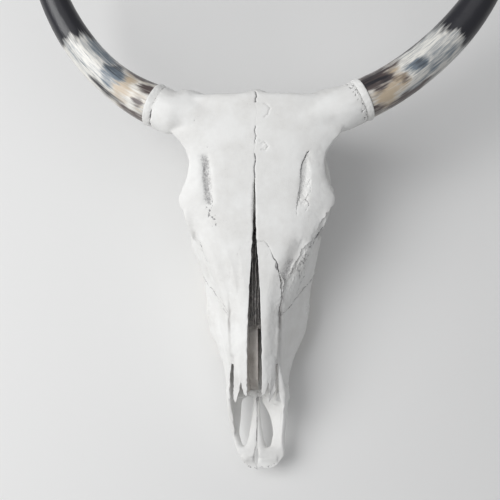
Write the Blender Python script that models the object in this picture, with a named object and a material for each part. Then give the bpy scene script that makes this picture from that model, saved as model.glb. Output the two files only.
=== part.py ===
"""A cow skull without its lower jaw, with both horns, resting on its cheek teeth and the processes behind its ears.

Metres, +Z up, nose towards -Y. The bones are shaped in the face's own frame and then tilted to lie on the floor.
In the face's frame a place is (across, back, up): across is +X, the forehead is level with Z = 0, and a distance
from the poll (the ridge between the horns) runs towards -Y. Left and right are the animal's own.
"""

import math

import bmesh
import bpy
import numpy as np
from mathutils import Matrix, Vector

# Driving dimensions of the whole skull.
POLL_HEIGHT = 0.197  # poll above the floor
FACE_SLOPE = math.radians(16)  # fall of the forehead and nose line
GAP = 0.0004  # open seam between two bones
SIDES = {"left": 1, "right": -1}

# Finish of each kind of piece: colour, roughness.
BONE = ((0.86, 0.86, 0.84, 1), 0.6)
INNER_BONE = ((0.42, 0.38, 0.35, 1), 0.8)
HORN = ((0.10, 0.09, 0.09, 1), 0.25)

# How finely the bones are modelled.
VOXEL = 0.0024
SMOOTH_STEPS = 5
BONE_FACES = 4800  # triangles kept in the bones
SPAN_STEPS = 5  # points along each span of a section

# Profiles along the skull: distance from the poll to a size, both in metres.
TOP_HEIGHT = {0: -0.008, 0.012: 0.001, 0.04: 0.003, 0.10: 0, 0.155: -0.004, 0.20: -0.002, 0.31: 0, 0.40: -0.007}
BROW_HALF_WIDTH = {
    0: 0.097, 0.012: 0.103, 0.03: 0.108, 0.052: 0.1095, 0.059: 0.106, 0.066: 0.0985, 0.073: 0.0935, 0.081: 0.0895,
    0.091: 0.0872, 0.104: 0.088, 0.114: 0.0905, 0.124: 0.0945, 0.132: 0.0985, 0.141: 0.1015, 0.15: 0.0985, 0.158: 0.092, 0.167: 0.086,
    0.183: 0.0785, 0.206: 0.068, 0.231: 0.0565, 0.259: 0.045, 0.29: 0.036, 0.35: 0.0315, 0.405: 0.029,
}
BROW_DROP = {0: 0.014, 0.09: 0.013, 0.141: 0.019, 0.165: 0.018, 0.21: 0.015, 0.30: 0.0115, 0.405: 0.009}
ROOF_THICKNESS = 0.0055

# Braincase and base, behind the eyes.
WALL_HALF_WIDTH = {0: 0.076, 0.02: 0.086, 0.045: 0.078, 0.07: 0.062, 0.10: 0.054, 0.13: 0.043, 0.21: 0.036}
WALL_HEIGHT = {0: -0.088, 0.05: -0.092, 0.10: -0.078, 0.15: -0.068, 0.21: -0.066}
BASE_HALF_WIDTH = {0: 0.036, 0.05: 0.030, 0.10: 0.020, 0.21: 0.018}
BASE_HEIGHT = {0: -0.149, 0.04: -0.150, 0.07: -0.143, 0.10: -0.134, 0.14: -0.121, 0.21: -0.104}
CRANIUM_STATIONS = (
    0.0045, 0.008, 0.0135, 0.025, 0.04, 0.055, 0.066, 0.078, 0.091, 0.105, 0.118, 0.130, 0.141, 0.152, 0.165, 0.185, 0.208,
)
NAPE_LEAN = 0.022  # how far the back of the skull runs forward towards its base
NAPE_DEPTH = 0.06  # length of skull over which that lean fades

# Face, before the eyes. Lifts are heights above the floor.
FLANK_HALF_WIDTH = {
    0.170: 0.088, 0.19: 0.0915, 0.205: 0.0885, 0.221: 0.082, 0.236: 0.0768, 0.257: 0.0722, 0.284: 0.0685,
    0.313: 0.0655, 0.327: 0.0597, 0.340: 0.0533, 0.352: 0.0480, 0.365: 0.0440, 0.378: 0.0420, 0.405: 0.0393,
}
FLANK_HEIGHT = {0.170: -0.078, 0.20: -0.084, 0.26: -0.083, 0.315: -0.074, 0.347: -0.062, 0.405: -0.042}
JAW_HALF_WIDTH = {0.170: 0.048, 0.20: 0.060, 0.25: 0.063, 0.30: 0.059, 0.34: 0.048, 0.37: 0.037, 0.405: 0.034}
JAW_LIFT = {0.170: 0.030, 0.20: 0.020, 0.33: 0.018, 0.36: 0.024, 0.405: 0.028}
PALATE_LIFT = {0.170: 0.036, 0.21: 0.035, 0.34: 0.032, 0.405: 0.032}
PALATE_THICKNESS = 0.007
FACE_STATIONS = (
    0.166, 0.176, 0.19, 0.205, 0.221, 0.236, 0.257, 0.275, 0.29, 0.305, 0.318, 0.33, 0.342, 0.354, 0.368, 0.385, 0.402,
)

# Nasal cavity: open at the front, closed behind, with a passage back to the throat.
CAVITY_STATIONS = (0.180, 0.19, 0.205, 0.225, 0.25, 0.28, 0.32, 0.36, 0.40, 0.43)
CAVITY_HALF_WIDTH = {0.180: 0.018, 0.205: 0.026, 0.24: 0.033, 0.28: 0.0335, 0.345: 0.031, 0.385: 0.0295, 0.43: 0.0295}
THROAT = ((0, 0.130, -0.126), (0, 0.165, -0.113), (0, 0.20, -0.100), (0, 0.238, -0.088))
THROAT_RADII = (0.012, 0.013, 0.0135, 0.0125)
CONCHA = ((0.0305, 0.245, -0.050), (0.0300, 0.29, -0.049), (0.0295, 0.335, -0.045))  # root of the scroll on the wall
CONCHA_REACH = 0.015

# Eye socket and the bars around it.
ORBIT_CENTRE = (0.0838, 0.158, -0.0565)
ORBIT_RADIUS = 0.0305
ORBIT_FORWARD = math.radians(14)  # turn of the socket's mouth towards the nose
ORBIT_DOWN = math.radians(5)
ORBIT_APEX = (0.038, 0.137, -0.060)
RIM_RADIUS = 0.0052
RIM_DEPTH = 0.0085
CHEEK_ARCH = (
    (0.088, 0.176, -0.083), (0.0935, 0.150, -0.087), (0.0945, 0.125, -0.089), (0.092, 0.100, -0.093),
    (0.086, 0.076, -0.099), (0.070, 0.060, -0.104),
)
CHEEK_ARCH_RADII = (0.0115, 0.0105, 0.0100, 0.0105, 0.0120, 0.014)
BROW_GROOVE = (
    (0.0680, 0.082, 0.003), (0.0650, 0.098, 0), (0.0625, 0.12, -0.001), (0.0595, 0.14, -0.002), (0.0545, 0.162, 0),
)
BROW_GROOVE_RADII = (0.0040, 0.0078, 0.0085, 0.0070, 0.0035)

# Cheek teeth: length along the row and width of each, front to back.
TEETH = ((0.015, 0.014), (0.018, 0.018), (0.019, 0.020), (0.024, 0.023), (0.028, 0.025), (0.031, 0.024))
TOOTH_ROW_START = 0.346
TOOTH_ROW_HALF_WIDTH = {0.20: 0.0535, 0.25: 0.0535, 0.30: 0.0485, 0.35: 0.040}
TOOTH_SPACE = 0.0012
TOOTH_TOP = 0.030  # root end above the floor

# Nasal bones: their outer seam, the open gap between them and their forked tips.
NASAL_SEAM = (
    (0.002, 0.1948), (0.011, 0.1965), (0.0175, 0.202), (0.0225, 0.214), (0.0285, 0.2235), (0.0315, 0.2375),
    (0.0340, 0.2565), (0.0345, 0.272), (0.0315, 0.292), (0.0300, 0.325), (0.0292, 0.3545),
)
SEAM_LEAN = 0.33  # how far the seam runs inwards for each unit of depth
SEAM_BOTTOM = -0.026
SEAM_SHIFT = -0.0025  # of the midline seam off the middle of the skull
NOSTRIL_BOTTOM = -0.018
SIDE_SLIT = ((0.0270, 0.3525), (0.0300, 0.3525), (0.0300, 0.365), (0.0298, 0.43), (0.0262, 0.43), (0.0270, 0.385))
FORK = (
    (0.006, 0.389), (0.0115, 0.3925), (0.0145, 0.388), (0.0175, 0.3745), (0.0205, 0.389), (0.0245, 0.4015),
    (0.0275, 0.396), (0.0275, 0.43), (0.006, 0.43),
)
GAP_HALF_WIDTH = {0.115: 0.0003, 0.13: 0.0012, 0.17: 0.0018, 0.21: 0.0040, 0.25: 0.0068, 0.32: 0.0092, 0.41: 0.0100}
GAP_STATIONS = (0.115, 0.13, 0.15, 0.17, 0.19, 0.21, 0.23, 0.25, 0.285, 0.32, 0.36, 0.41)
GAP_BOTTOM = -0.020

# Seams between the bones of the face, as planes: three places each on the animal's left.
CHEEK_SEAM = ((0.032, 0.293, -0.006), (0.0705, 0.2505, -0.070), (0.050, 0.203, -0.125))
BEAK_SEAM = ((0, 0.352, -0.012), (0.03, 0.352, -0.012), (0, 0.402, -0.062))

# Incisive bones: their outline, which is fuller on the animal's left, and their thickness.
BEAK_HALF_WIDTH = {
    "left": {0.38: 0.0425, 0.40: 0.0408, 0.416: 0.0392, 0.436: 0.0378, 0.456: 0.0366, 0.469: 0.0376,
             0.478: 0.0352, 0.487: 0.0285, 0.492: 0.0190, 0.496: 0.008},
    "right": {0.38: 0.0418, 0.403: 0.0390, 0.429: 0.0368, 0.442: 0.0345, 0.4555: 0.0310, 0.469: 0.0270,
              0.480: 0.0220, 0.489: 0.0150, 0.496: 0.007},
}
BEAK_TOP = {0.38: -0.016, 0.40: -0.021, 0.42: -0.029, 0.45: -0.034, 0.47: -0.032, 0.496: -0.033}
BEAK_LIFT = 0.030
BEAK_STATIONS = (0.465, 0.470, 0.475, 0.480, 0.484, 0.488, 0.492, 0.4955)
PROCESS_STATIONS = (0.385, 0.395, 0.407, 0.42, 0.433, 0.447, 0.460, 0.473)
PROCESS_INNER = {
    "left": {0.38: 0.031, 0.395: 0.0160, 0.407: 0.0140, 0.418: 0.0186, 0.433: 0.0202, 0.448: 0.0215, 0.460: 0.0190,
             0.473: 0.0140},
    "right": {0.38: 0.031, 0.395: 0.0210, 0.409: 0.0205, 0.431: 0.0226, 0.445: 0.0238, 0.457: 0.0210, 0.473: 0.0150},
}
ROD_HALF_WIDTH = {
    "left": {0.386: 0.0032, 0.409: 0.0032, 0.431: 0.0050, 0.453: 0.0085, 0.467: 0.0135, 0.475: 0.0200},
    "right": {0.386: 0.0046, 0.409: 0.0052, 0.431: 0.0075, 0.453: 0.0118, 0.465: 0.0165, 0.475: 0.0200},
}
ROD_STATIONS = (0.386, 0.398, 0.409, 0.420, 0.431, 0.442, 0.453, 0.460, 0.467, 0.475)
ROD_HEIGHT = 0.009
FRONT_GAP = ((0, 0.461), (0.0020, 0.467), (0.0030, 0.476), (0.0020, 0.485), (0, 0.490))  # open between their bodies
FRONT_GAP_SHIFT = -0.0008

# Ploughshare bone on the midline of the nasal cavity.
VOMER_STATIONS = (0.235, 0.25, 0.27, 0.30, 0.33, 0.36, 0.382)
VOMER_HEIGHT = {0.235: 0.030, 0.27: 0.034, 0.33: 0.026, 0.382: 0.008}
VOMER_HALF_WIDTH = 0.0016

# Horns, as they leave the head. Their root is where the collar of rough bone ends; "rise" and "lift" are the
# angles, in degrees, of their line above the poll's line and above the forehead, at distances from the root.
COLLAR_LENGTH = 0.011
COLLAR_RADIUS = 0.0285
COLLAR_SIDES = 24
HORN_RADIUS = {
    "left": {0: 0.0268, 0.067: 0.0254, 0.135: 0.0240, 0.20: 0.0212, 0.28: 0.0160, 0.35: 0.0100, 0.40: 0.0042},
    "right": {0: 0.0267, 0.067: 0.0226, 0.135: 0.0210, 0.20: 0.0188, 0.28: 0.0146, 0.35: 0.0092, 0.40: 0.0040},
}
HORN_RISE = {
    "left": {0: 25, 0.067: 36, 0.135: 46, 0.20: 58, 0.30: 80, 0.41: 93},
    "right": {0: 25, 0.067: 40, 0.135: 55, 0.20: 68, 0.30: 84, 0.41: 94},
}
HORN_LIFT = {"left": {0: -6, 0.10: -2, 0.25: 12, 0.41: 30}, "right": {0: -9, 0.10: -4, 0.25: 12, 0.41: 30}}
HORN_ROOT = {"left": (0.1405, 0.0095, -0.0295), "right": (0.1370, 0.0150, -0.0295)}
HORN_LENGTH = 0.408
HORN_STEPS = 18
HORN_SIDES = 16


def at(across, back, up):
    """A place in the face's frame, from its distances off the midline, along from the poll and above the brow."""
    return Vector((across, -back, up))


def profile(table):
    """A smooth function through a table's values, which never overshoots them."""
    xs = np.array(sorted(table), float)
    ys = np.array([table[x] for x in sorted(table)], float)
    slopes = np.diff(ys) / np.diff(xs)
    tangents = np.zeros(len(xs))
    for i in range(1, len(xs) - 1):
        if slopes[i - 1] * slopes[i] > 0:
            tangents[i] = 2 * slopes[i - 1] * slopes[i] / (slopes[i - 1] + slopes[i])
    tangents[0], tangents[-1] = slopes[0], slopes[-1]

    def value(x):
        x = min(max(x, xs[0]), xs[-1])
        i = int(min(np.searchsorted(xs, x, side="right") - 1, len(xs) - 2))
        step = xs[i + 1] - xs[i]
        t = (x - xs[i]) / step
        start = ys[i] * (1 + 2 * t) + tangents[i] * step * t
        end = ys[i + 1] * (3 - 2 * t) + tangents[i + 1] * step * (t - 1)
        return float(start * (1 - t) ** 2 + end * t * t)

    return value


def floor_height(back):
    """Height of the floor in the face's frame, at a distance from the poll."""
    return -POLL_HEIGHT / math.cos(FACE_SLOPE) + back * math.tan(FACE_SLOPE)


top_height = profile(TOP_HEIGHT)
brow_half_width = profile(BROW_HALF_WIDTH)
brow_drop = profile(BROW_DROP)
wall_half_width = profile(WALL_HALF_WIDTH)
wall_height = profile(WALL_HEIGHT)
base_half_width = profile(BASE_HALF_WIDTH)
base_height = profile(BASE_HEIGHT)
flank_half_width = profile(FLANK_HALF_WIDTH)
flank_height = profile(FLANK_HEIGHT)
jaw_half_width = profile(JAW_HALF_WIDTH)
jaw_lift = profile(JAW_LIFT)
palate_lift = profile(PALATE_LIFT)
cavity_half_width = profile(CAVITY_HALF_WIDTH)
tooth_row_half_width = profile(TOOTH_ROW_HALF_WIDTH)
gap_half_width = profile(GAP_HALF_WIDTH)
beak_half_width = {side: profile(BEAK_HALF_WIDTH[side]) for side in SIDES}
beak_top = profile(BEAK_TOP)
process_inner = {side: profile(PROCESS_INNER[side]) for side in SIDES}
rod_half_width = {side: profile(ROD_HALF_WIDTH[side]) for side in SIDES}
vomer_height = profile(VOMER_HEIGHT)


def smooth_loop(corners):
    """A closed smooth curve through the corners of a section."""
    count = len(corners)
    points = []
    for i in range(count):
        a, b, c, d = (Vector(corners[(i + k - 1) % count]) for k in range(4))
        for step in range(SPAN_STEPS):
            t = step / SPAN_STEPS
            points.append(
                0.5 * (2 * b + (c - a) * t + (2 * a - 5 * b + 4 * c - d) * t**2 + (3 * b - a - 3 * c + d) * t**3)
            )
    return points


def mirrored(half):
    """The whole outline of a section whose right half runs from the midline's top to its bottom."""
    return list(half) + [(-x, z) for x, z in half[-2:0:-1]]


def on_side(points, side):
    """Places given for the animal's left, taken to a side."""
    return [at(side * across, back, up) for across, back, up in points]


# Building blocks: each adds one closed solid to a bmesh.


def add_loft(mesh, rings):
    """A solid through rings of points, each joined to the next, with a fan at either end."""
    rows = [[mesh.verts.new(p) for p in ring] for ring in rings]
    count = len(rows[0])
    for a, b in zip(rows, rows[1:]):
        for i in range(count):
            j = (i + 1) % count
            mesh.faces.new((a[i], a[j], b[j], b[i]))
    for row, start, end in ((rows[0], 1, 0), (rows[-1], 0, 1)):
        middle = mesh.verts.new(sum((v.co for v in row), Vector()) / count)
        for i in range(count):
            pair = (row[i], row[(i + 1) % count])
            mesh.faces.new((pair[start], pair[end], middle))


def add_tube(mesh, path, radii, sides=14, flatten=1.0):
    """A tube along a path, with a radius for each of its points; flatten scales it across its own width."""
    rings = []
    for i, point in enumerate(path):
        along = (path[min(i + 1, len(path) - 1)] - path[max(i - 1, 0)]).normalized()
        side = along.cross(Vector((0, 0, 1)))
        side = side.normalized() if side.length > 0.2 else Vector((1, 0, 0))
        over = side.cross(along).normalized()
        ring = []
        for k in range(sides):
            angle = 2 * math.pi * k / sides
            ring.append(point + radii[i] * (math.cos(angle) * side * flatten + math.sin(angle) * over))
        rings.append(ring)
    add_loft(mesh, rings)


def add_ring(mesh, frame, radius, bar, depth, steps=28, sides=10):
    """A round bar bent to a circle in the XY plane of a frame."""
    rows = []
    for i in range(steps):
        turn = 2 * math.pi * i / steps
        row = []
        for k in range(sides):
            angle = 2 * math.pi * k / sides
            away = radius + bar * math.cos(angle)
            place = Vector((away * math.cos(turn), away * math.sin(turn), depth * math.sin(angle)))
            row.append(mesh.verts.new(frame @ place))
        rows.append(row)
    for i in range(steps):
        for k in range(sides):
            a, b = rows[i], rows[(i + 1) % steps]
            mesh.faces.new((a[k], a[(k + 1) % sides], b[(k + 1) % sides], b[k]))


def add_ball(mesh, centre, radii):
    """An ellipsoid."""
    place = Matrix.Translation(centre) @ Matrix.Diagonal((*radii, 1))
    bmesh.ops.create_icosphere(mesh, subdivisions=3, radius=1, matrix=place)


def add_plate(mesh, outline, shift):
    """A flat polygon in space, thickened by a shift of its outline."""
    low = [mesh.verts.new(Vector(p)) for p in outline]
    high = [mesh.verts.new(Vector(p) + shift) for p in outline]
    count = len(low)
    mesh.faces.new(low[::-1])
    mesh.faces.new(high)
    for i in range(count):
        j = (i + 1) % count
        mesh.faces.new((low[i], low[j], high[j], high[i]))


def add_prism(mesh, outline, low, high):
    """An upright prism over an outline of (across, back) places."""
    add_plate(mesh, [at(across, back, low) for across, back in outline], Vector((0, 0, high - low)))


def add_wall(mesh, tops, bottoms, thickness):
    """A thin curtain between an upper and a lower line, which are given point by point."""
    rings = []
    for i, (top, bottom) in enumerate(zip(tops, bottoms)):
        along = tops[min(i + 1, len(tops) - 1)] - tops[max(i - 1, 0)]
        across = along.cross(top - bottom).normalized() * (thickness / 2)
        rings.append([top + across, top - across, bottom - across, bottom + across])
    rows = [[mesh.verts.new(p) for p in ring] for ring in rings]
    for a, b in zip(rows, rows[1:]):
        for corners in (
            (a[0], a[1], b[1], b[0]), (a[2], a[3], b[3], b[2]),
            (a[1], a[2], b[2]), (a[1], b[2], b[1]), (a[0], b[0], b[3]), (a[0], b[3], a[3]),
        ):
            mesh.faces.new(corners)
    mesh.faces.new(rows[0][::-1])
    mesh.faces.new(rows[-1])


# Objects and modifiers.


def material(name, colour, roughness):
    """A plain finish."""
    made = bpy.data.materials.new(name)
    made.use_nodes = True
    shader = made.node_tree.nodes["Principled BSDF"]
    shader.inputs["Base Color"].default_value = colour
    shader.inputs["Roughness"].default_value = roughness
    return made


def object_of(name, mesh):
    """An object from a bmesh, with its faces turned out."""
    bmesh.ops.recalc_face_normals(mesh, faces=mesh.faces)
    data = bpy.data.meshes.new(name)
    mesh.to_mesh(data)
    mesh.free()
    made = bpy.data.objects.new(name, data)
    bpy.context.scene.collection.objects.link(made)
    return made


def settled(made):
    """Replaces an object's mesh by what its modifiers make of it."""
    graph = bpy.context.evaluated_depsgraph_get()
    data = bpy.data.meshes.new_from_object(made.evaluated_get(graph))
    made.modifiers.clear()
    made.data = data
    return made


def remeshed(made):
    """One closed skin around everything in an object."""
    remesh = made.modifiers.new("Remesh", "REMESH")
    remesh.mode = "VOXEL"
    remesh.voxel_size = VOXEL
    return settled(made)


def combined(made, other, operation):
    """Joins another object to this one, or cuts it away, and removes the other.

    The skull's thin seams leave pieces a hair apart, where the exact solver drops some; this one keeps them all.
    """
    boolean = made.modifiers.new("Boolean", "BOOLEAN")
    boolean.operation = operation
    boolean.solver = "MANIFOLD"
    boolean.object = other
    settled(made)
    bpy.data.objects.remove(other)
    return made


def cut(made, build, *args):
    """Cuts away the solid that a function builds."""
    mesh = bmesh.new()
    build(mesh, *args)
    return combined(made, object_of("cutter", mesh), "DIFFERENCE")


def join(made, build, *args):
    """Joins on the solid that a function builds."""
    mesh = bmesh.new()
    build(mesh, *args)
    return combined(made, object_of("addition", mesh), "UNION")


# Sections of the skull.


def cranium_section(back):
    """Behind the eyes: forehead plate, hollow temples, braincase and base."""
    wide, high = brow_half_width(back), top_height(back)
    edge = high - brow_drop(back)
    wall, level = wall_half_width(back), wall_height(back)
    base_wide, base = base_half_width(back), base_height(back)
    return mirrored([
        (0, high),
        (0.62 * wide, high - 0.22 * brow_drop(back)),
        (wide, edge),
        (wide - 0.008, edge - 0.010),
        (0.5 * (wide + wall) - 0.012, edge - 0.022),
        (wall, level),
        (0.45 * wall + 0.55 * base_wide, 0.3 * level + 0.7 * base),
        (base_wide, base),
        (0, base - 0.002),
    ])


def face_section(back):
    """Before the eyes: nose roof, cheek, jaw edge and vaulted palate."""
    wide, high = brow_half_width(back), top_height(back)
    edge = high - brow_drop(back)
    flank, level = flank_half_width(back), flank_height(back)
    jaw, jaw_height = jaw_half_width(back), floor_height(back) + jaw_lift(back)
    palate = floor_height(back) + palate_lift(back)
    return mirrored([
        (0, high),
        (0.6 * wide, high - 0.2 * brow_drop(back)),
        (wide, edge),
        (0.55 * wide + 0.45 * flank, 0.5 * (edge + level)),
        (flank, level),
        (0.35 * flank + 0.65 * jaw + 0.001, 0.5 * (level + jaw_height)),
        (jaw, jaw_height),
        (0.52 * jaw, jaw_height + 0.2 * (palate - jaw_height)),
        (0.30 * jaw, palate),
        (0, palate + 0.002),
    ])


def cavity_section(back):
    """Nasal cavity, from under the roof to the palate."""
    wide, high = cavity_half_width(back), top_height(back) - ROOF_THICKNESS
    low = min(floor_height(back) + palate_lift(back) + PALATE_THICKNESS, high - 0.025)
    return mirrored([
        (0, high),
        (0.85 * wide, high - 0.003),
        (wide, 0.80 * high + 0.20 * low),
        (0.85 * wide, 0.25 * high + 0.75 * low),
        (0.45 * wide, low),
        (0, low + 0.001),
    ])


def beak_section(back):
    """The two incisive bones' bodies, side by side."""
    left, right = beak_half_width["left"](back), beak_half_width["right"](back)
    high, low = beak_top(back), floor_height(back) + BEAK_LIFT
    middle = 0.5 * (high + low)
    return [
        (0, high - 0.001), (0.6 * left, high), (left, middle), (0.6 * left, low),
        (0, low + 0.001), (-0.6 * right, low), (-right, middle), (-0.6 * right, high),
    ]


def process_section(back, name):
    """The slanting bar of an incisive bone beside the nostril."""
    side = SIDES[name]
    outer, inner = beak_half_width[name](back), process_inner[name](back)
    high, low = beak_top(back), floor_height(back) + BEAK_LIFT
    middle = 0.5 * (high + low)
    points = [
        (outer - 0.0065, high), (outer - 0.001, high - 0.003), (outer, middle), (outer - 0.004, low),
        (inner, low + 0.001), (inner + 0.001, low + 0.006), (0.5 * (inner + outer) + 0.001, middle + 0.002),
    ]
    return [(side * x, z) for x, z in points]


def rod_section(back):
    """The flat bars of both incisive bones, side by side on the midline."""
    left, right = rod_half_width["left"](back), rod_half_width["right"](back)
    low = floor_height(back) + BEAK_LIFT + 0.001
    high = low + ROD_HEIGHT
    return [
        (0, high), (0.6 * left, high - 0.001), (left, low + 0.004), (0.8 * left, low),
        (0, low), (-0.8 * right, low), (-right, low + 0.004), (-0.6 * right, high - 0.001),
    ]


def share(value, start, end):
    """How far a value has come from start to end, from 0 to 1."""
    return min(1.0, max(0.0, (value - start) / (end - start)))


def rings_of(section, stations, lean=0.0, skew=0.0):
    """A section placed at each station.

    Lean tips those near the back, the more the lower. Skew shifts the roof of the nose off the middle.
    """
    rings = []
    for back in stations:
        tip = lean * (1 - share(back, 0, NAPE_DEPTH))
        aside = skew * share(back, 0.19, 0.26)
        ring = []
        for p in smooth_loop(section(back)):
            ring.append(at(p.x + aside * share(p.y, -0.045, -0.012), back + tip * (p.y / BASE_HEIGHT[0]), p.y))
        rings.append(ring)
    return rings


# The solid forms, and what is hollowed out of them.


def orbit_frame(side):
    """Matrix at the middle of an eye's rim, whose Z axis points out of the socket."""
    out = Vector((math.cos(ORBIT_FORWARD) * side, -math.sin(ORBIT_FORWARD), -math.sin(ORBIT_DOWN)))
    turn = out.to_track_quat("Z", "Y").to_matrix().to_4x4()
    return Matrix.Translation(on_side([ORBIT_CENTRE], side)[0]) @ turn


def add_forms(mesh):
    """Everything that swells from the skull."""
    add_loft(mesh, rings_of(cranium_section, CRANIUM_STATIONS, NAPE_LEAN))
    add_loft(mesh, rings_of(face_section, FACE_STATIONS, skew=SEAM_SHIFT))
    for name, side in SIDES.items():
        root, along = horn_root(name)
        neck = [at(0.050 * side, 0.043, -0.030), at(0.095 * side, 0.026, -0.029), root - 0.030 * along, root]
        add_tube(mesh, neck, (0.032, 0.0305, 0.0285, 0.0285), 20)
        add_tube(mesh, on_side(CHEEK_ARCH, side), CHEEK_ARCH_RADII, flatten=0.55)
        add_ball(mesh, at(side * 0.0315, 0.017, -0.136), (0.014, 0.019, 0.018))
        add_ball(mesh, at(side * 0.0215, 0.019, -0.154), (0.015, 0.020, 0.014))
        process = ((0.051, 0.034, -0.120), (0.053, 0.037, -0.150), (0.052, 0.042, -0.176), (0.050, 0.046, -0.198))
        add_tube(mesh, on_side(process, side), (0.021, 0.0155, 0.0105, 0.0070), flatten=0.5)
        add_ball(mesh, at(side * 0.043, 0.069, -0.142), (0.013, 0.018, 0.017))
        ear = ((0.055, 0.060, -0.118), (0.074, 0.054, -0.114), (0.090, 0.050, -0.110))
        add_tube(mesh, on_side(ear, side), (0.013, 0.010, 0.0085))
        add_ball(mesh, at(side * 0.072, 0.079, -0.106), (0.019, 0.011, 0.010))
        add_ball(mesh, at(side * 0.0595, 0.292, -0.077), (0.009, 0.018, 0.011))
        wing = ((0.022, 0.146, -0.106), (0.0225, 0.165, -0.112), (0.0225, 0.190, -0.115), (0.023, 0.214, -0.112))
        add_tube(mesh, on_side(wing, side), (0.012, 0.019, 0.022, 0.018), flatten=0.22)
    add_ball(mesh, at(0, 0.0155, -0.060), (0.016, 0.012, 0.020))
    add_ball(mesh, at(-0.001, 0.0105, -0.014), (0.021, 0.0110, 0.0135))


def add_bars(mesh):
    """The rims of the eyes, the scrolls in the nose and the incisive bones."""
    for name, side in SIDES.items():
        add_ring(mesh, orbit_frame(side), ORBIT_RADIUS + RIM_RADIUS - 0.001, RIM_RADIUS, RIM_DEPTH)
        add_loft(mesh, rings_of(lambda back, name=name: process_section(back, name), PROCESS_STATIONS))
        scroll = []
        for across, back, up in CONCHA:
            reach = CONCHA_REACH
            outline = [
                (across + 0.006, up + 0.003), (across - 0.6 * reach, up + 0.006), (across - reach, up - 0.001),
                (across - 0.8 * reach, up - 0.012), (across - 0.4 * reach, up - 0.012), (across + 0.006, up - 0.003),
            ]
            scroll.append([at(side * p.x, back, p.y) for p in smooth_loop(outline)])
        add_loft(mesh, scroll)
    add_loft(mesh, rings_of(beak_section, BEAK_STATIONS))
    add_loft(mesh, rings_of(rod_section, ROD_STATIONS))


def add_sockets(mesh):
    """The hollows of the eyes."""
    for side in SIDES.values():
        frame = orbit_frame(side)
        mouth, apex = frame.translation, on_side([ORBIT_APEX], side)[0]
        outside = frame @ Vector((0, 0, 0.030))
        path = [outside, mouth, mouth.lerp(apex, 0.4), mouth.lerp(apex, 0.78), apex]
        radii = [ORBIT_RADIUS * share for share in (1.15, 1.0, 0.90, 0.58, 0.25)]
        add_tube(mesh, path, radii, 24)


def add_grooves(mesh):
    """The channels of the brow's blood vessels."""
    for side in SIDES.values():
        add_tube(mesh, on_side(BROW_GROOVE, side), BROW_GROOVE_RADII, 12)


def add_cavity(mesh):
    add_loft(mesh, rings_of(cavity_section, CAVITY_STATIONS, skew=SEAM_SHIFT))


def add_throat(mesh):
    add_tube(mesh, [at(*p) for p in THROAT], THROAT_RADII, 16, 1.15)


def add_brain_opening(mesh):
    add_tube(mesh, [at(0, -0.02, -0.139), at(0, 0.02, -0.134), at(0, 0.055, -0.122)], (0.017, 0.016, 0.012), 18, 1.1)


# What parts the bones.


def add_nasal_gap(mesh):
    """The open split along the midline of the forehead and between the nasal bones."""
    right = [(gap_half_width(back), back) for back in GAP_STATIONS]
    left = [(-across, back) for across, back in reversed(right)]
    add_prism(mesh, [(SEAM_SHIFT + across, back) for across, back in right + left], GAP_BOTTOM, 0.03)


def add_front_gap(mesh):
    """The open slot between the bodies of the incisive bones."""
    outline = list(FRONT_GAP) + [(-across, back) for across, back in FRONT_GAP[-2:0:-1]]
    add_prism(mesh, [(FRONT_GAP_SHIFT + across, back) for across, back in outline], -0.12, 0.03)


def add_nostril_edges(mesh, outline):
    """What is open beside the tips of both nasal bones, or between their prongs."""
    for side in SIDES.values():
        shifted = [(SEAM_SHIFT + side * across, back) for across, back in outline]
        add_prism(mesh, shifted, NOSTRIL_BOTTOM, 0.03)


def seam_line(up):
    """The nasal bones' outer seam at a height."""
    shift = SEAM_LEAN * (up + 0.005)
    return [(across + shift * min(1, across / 0.02), back) for across, back in NASAL_SEAM]


def add_nasal_walls(mesh):
    for side in SIDES.values():
        tops = [at(SEAM_SHIFT + side * across, back, 0.012) for across, back in seam_line(0.012)]
        bottoms = [at(SEAM_SHIFT + side * across, back, SEAM_BOTTOM) for across, back in seam_line(SEAM_BOTTOM)]
        add_wall(mesh, tops, bottoms, GAP)


def plane_of(three):
    """A point and the normal of the plane through three places on the animal's left."""
    a, b, c = (at(*p) for p in three)
    return a, (b - a).cross(c - a).normalized()


def seam_plate(mesh, side, three, top_corner, low_corner, reach):
    """A thin plate in a seam's plane: from the nasal bones' seam, whose ends are given, out and down by a reach."""
    origin, normal = plane_of(three)
    wide, deep = reach
    shift = side * SEAM_SHIFT
    outline = [
        (top_corner[0] + shift, top_corner[1]), (wide, top_corner[1]), (wide, -deep), (-0.0002, -deep),
        (-0.0002, low_corner[1] - 0.006), (low_corner[0] + shift, low_corner[1]),
    ]
    points = []
    for across, up in outline:
        y = origin.y - (normal.x * (across - origin.x) + normal.z * (up - origin.z)) / normal.y
        points.append(Vector((side * across, y, up)))
    shift = Vector((side * normal.x, normal.y, normal.z)) * GAP
    add_plate(mesh, points, shift)


def add_cheek_wall(mesh, side):
    seam_plate(mesh, side, CHEEK_SEAM, (0.0352, 0.012), (0.0265, SEAM_BOTTOM), (0.13, 0.17))


def add_beak_wall(mesh, side):
    seam_plate(mesh, side, BEAK_SEAM, (0.0297, -0.001), (0.0217, SEAM_BOTTOM), (0.08, 0.10))


def add_middle_wall(mesh):
    """The seam of the palate and between the incisive bones."""
    origin, normal = plane_of(CHEEK_SEAM)
    edge = []
    for up in (-0.17, -0.04):
        y = origin.y + (normal.x * origin.x - normal.z * (up - origin.z)) / normal.y
        edge.append(Vector((-GAP / 2, y, up)))
    rest = [at(-GAP / 2, back, up) for back, up in ((0.41, -0.04), (0.42, 0.03), (0.51, 0.03), (0.51, -0.17))]
    add_plate(mesh, edge + rest, Vector((GAP, 0, 0)))


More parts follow.
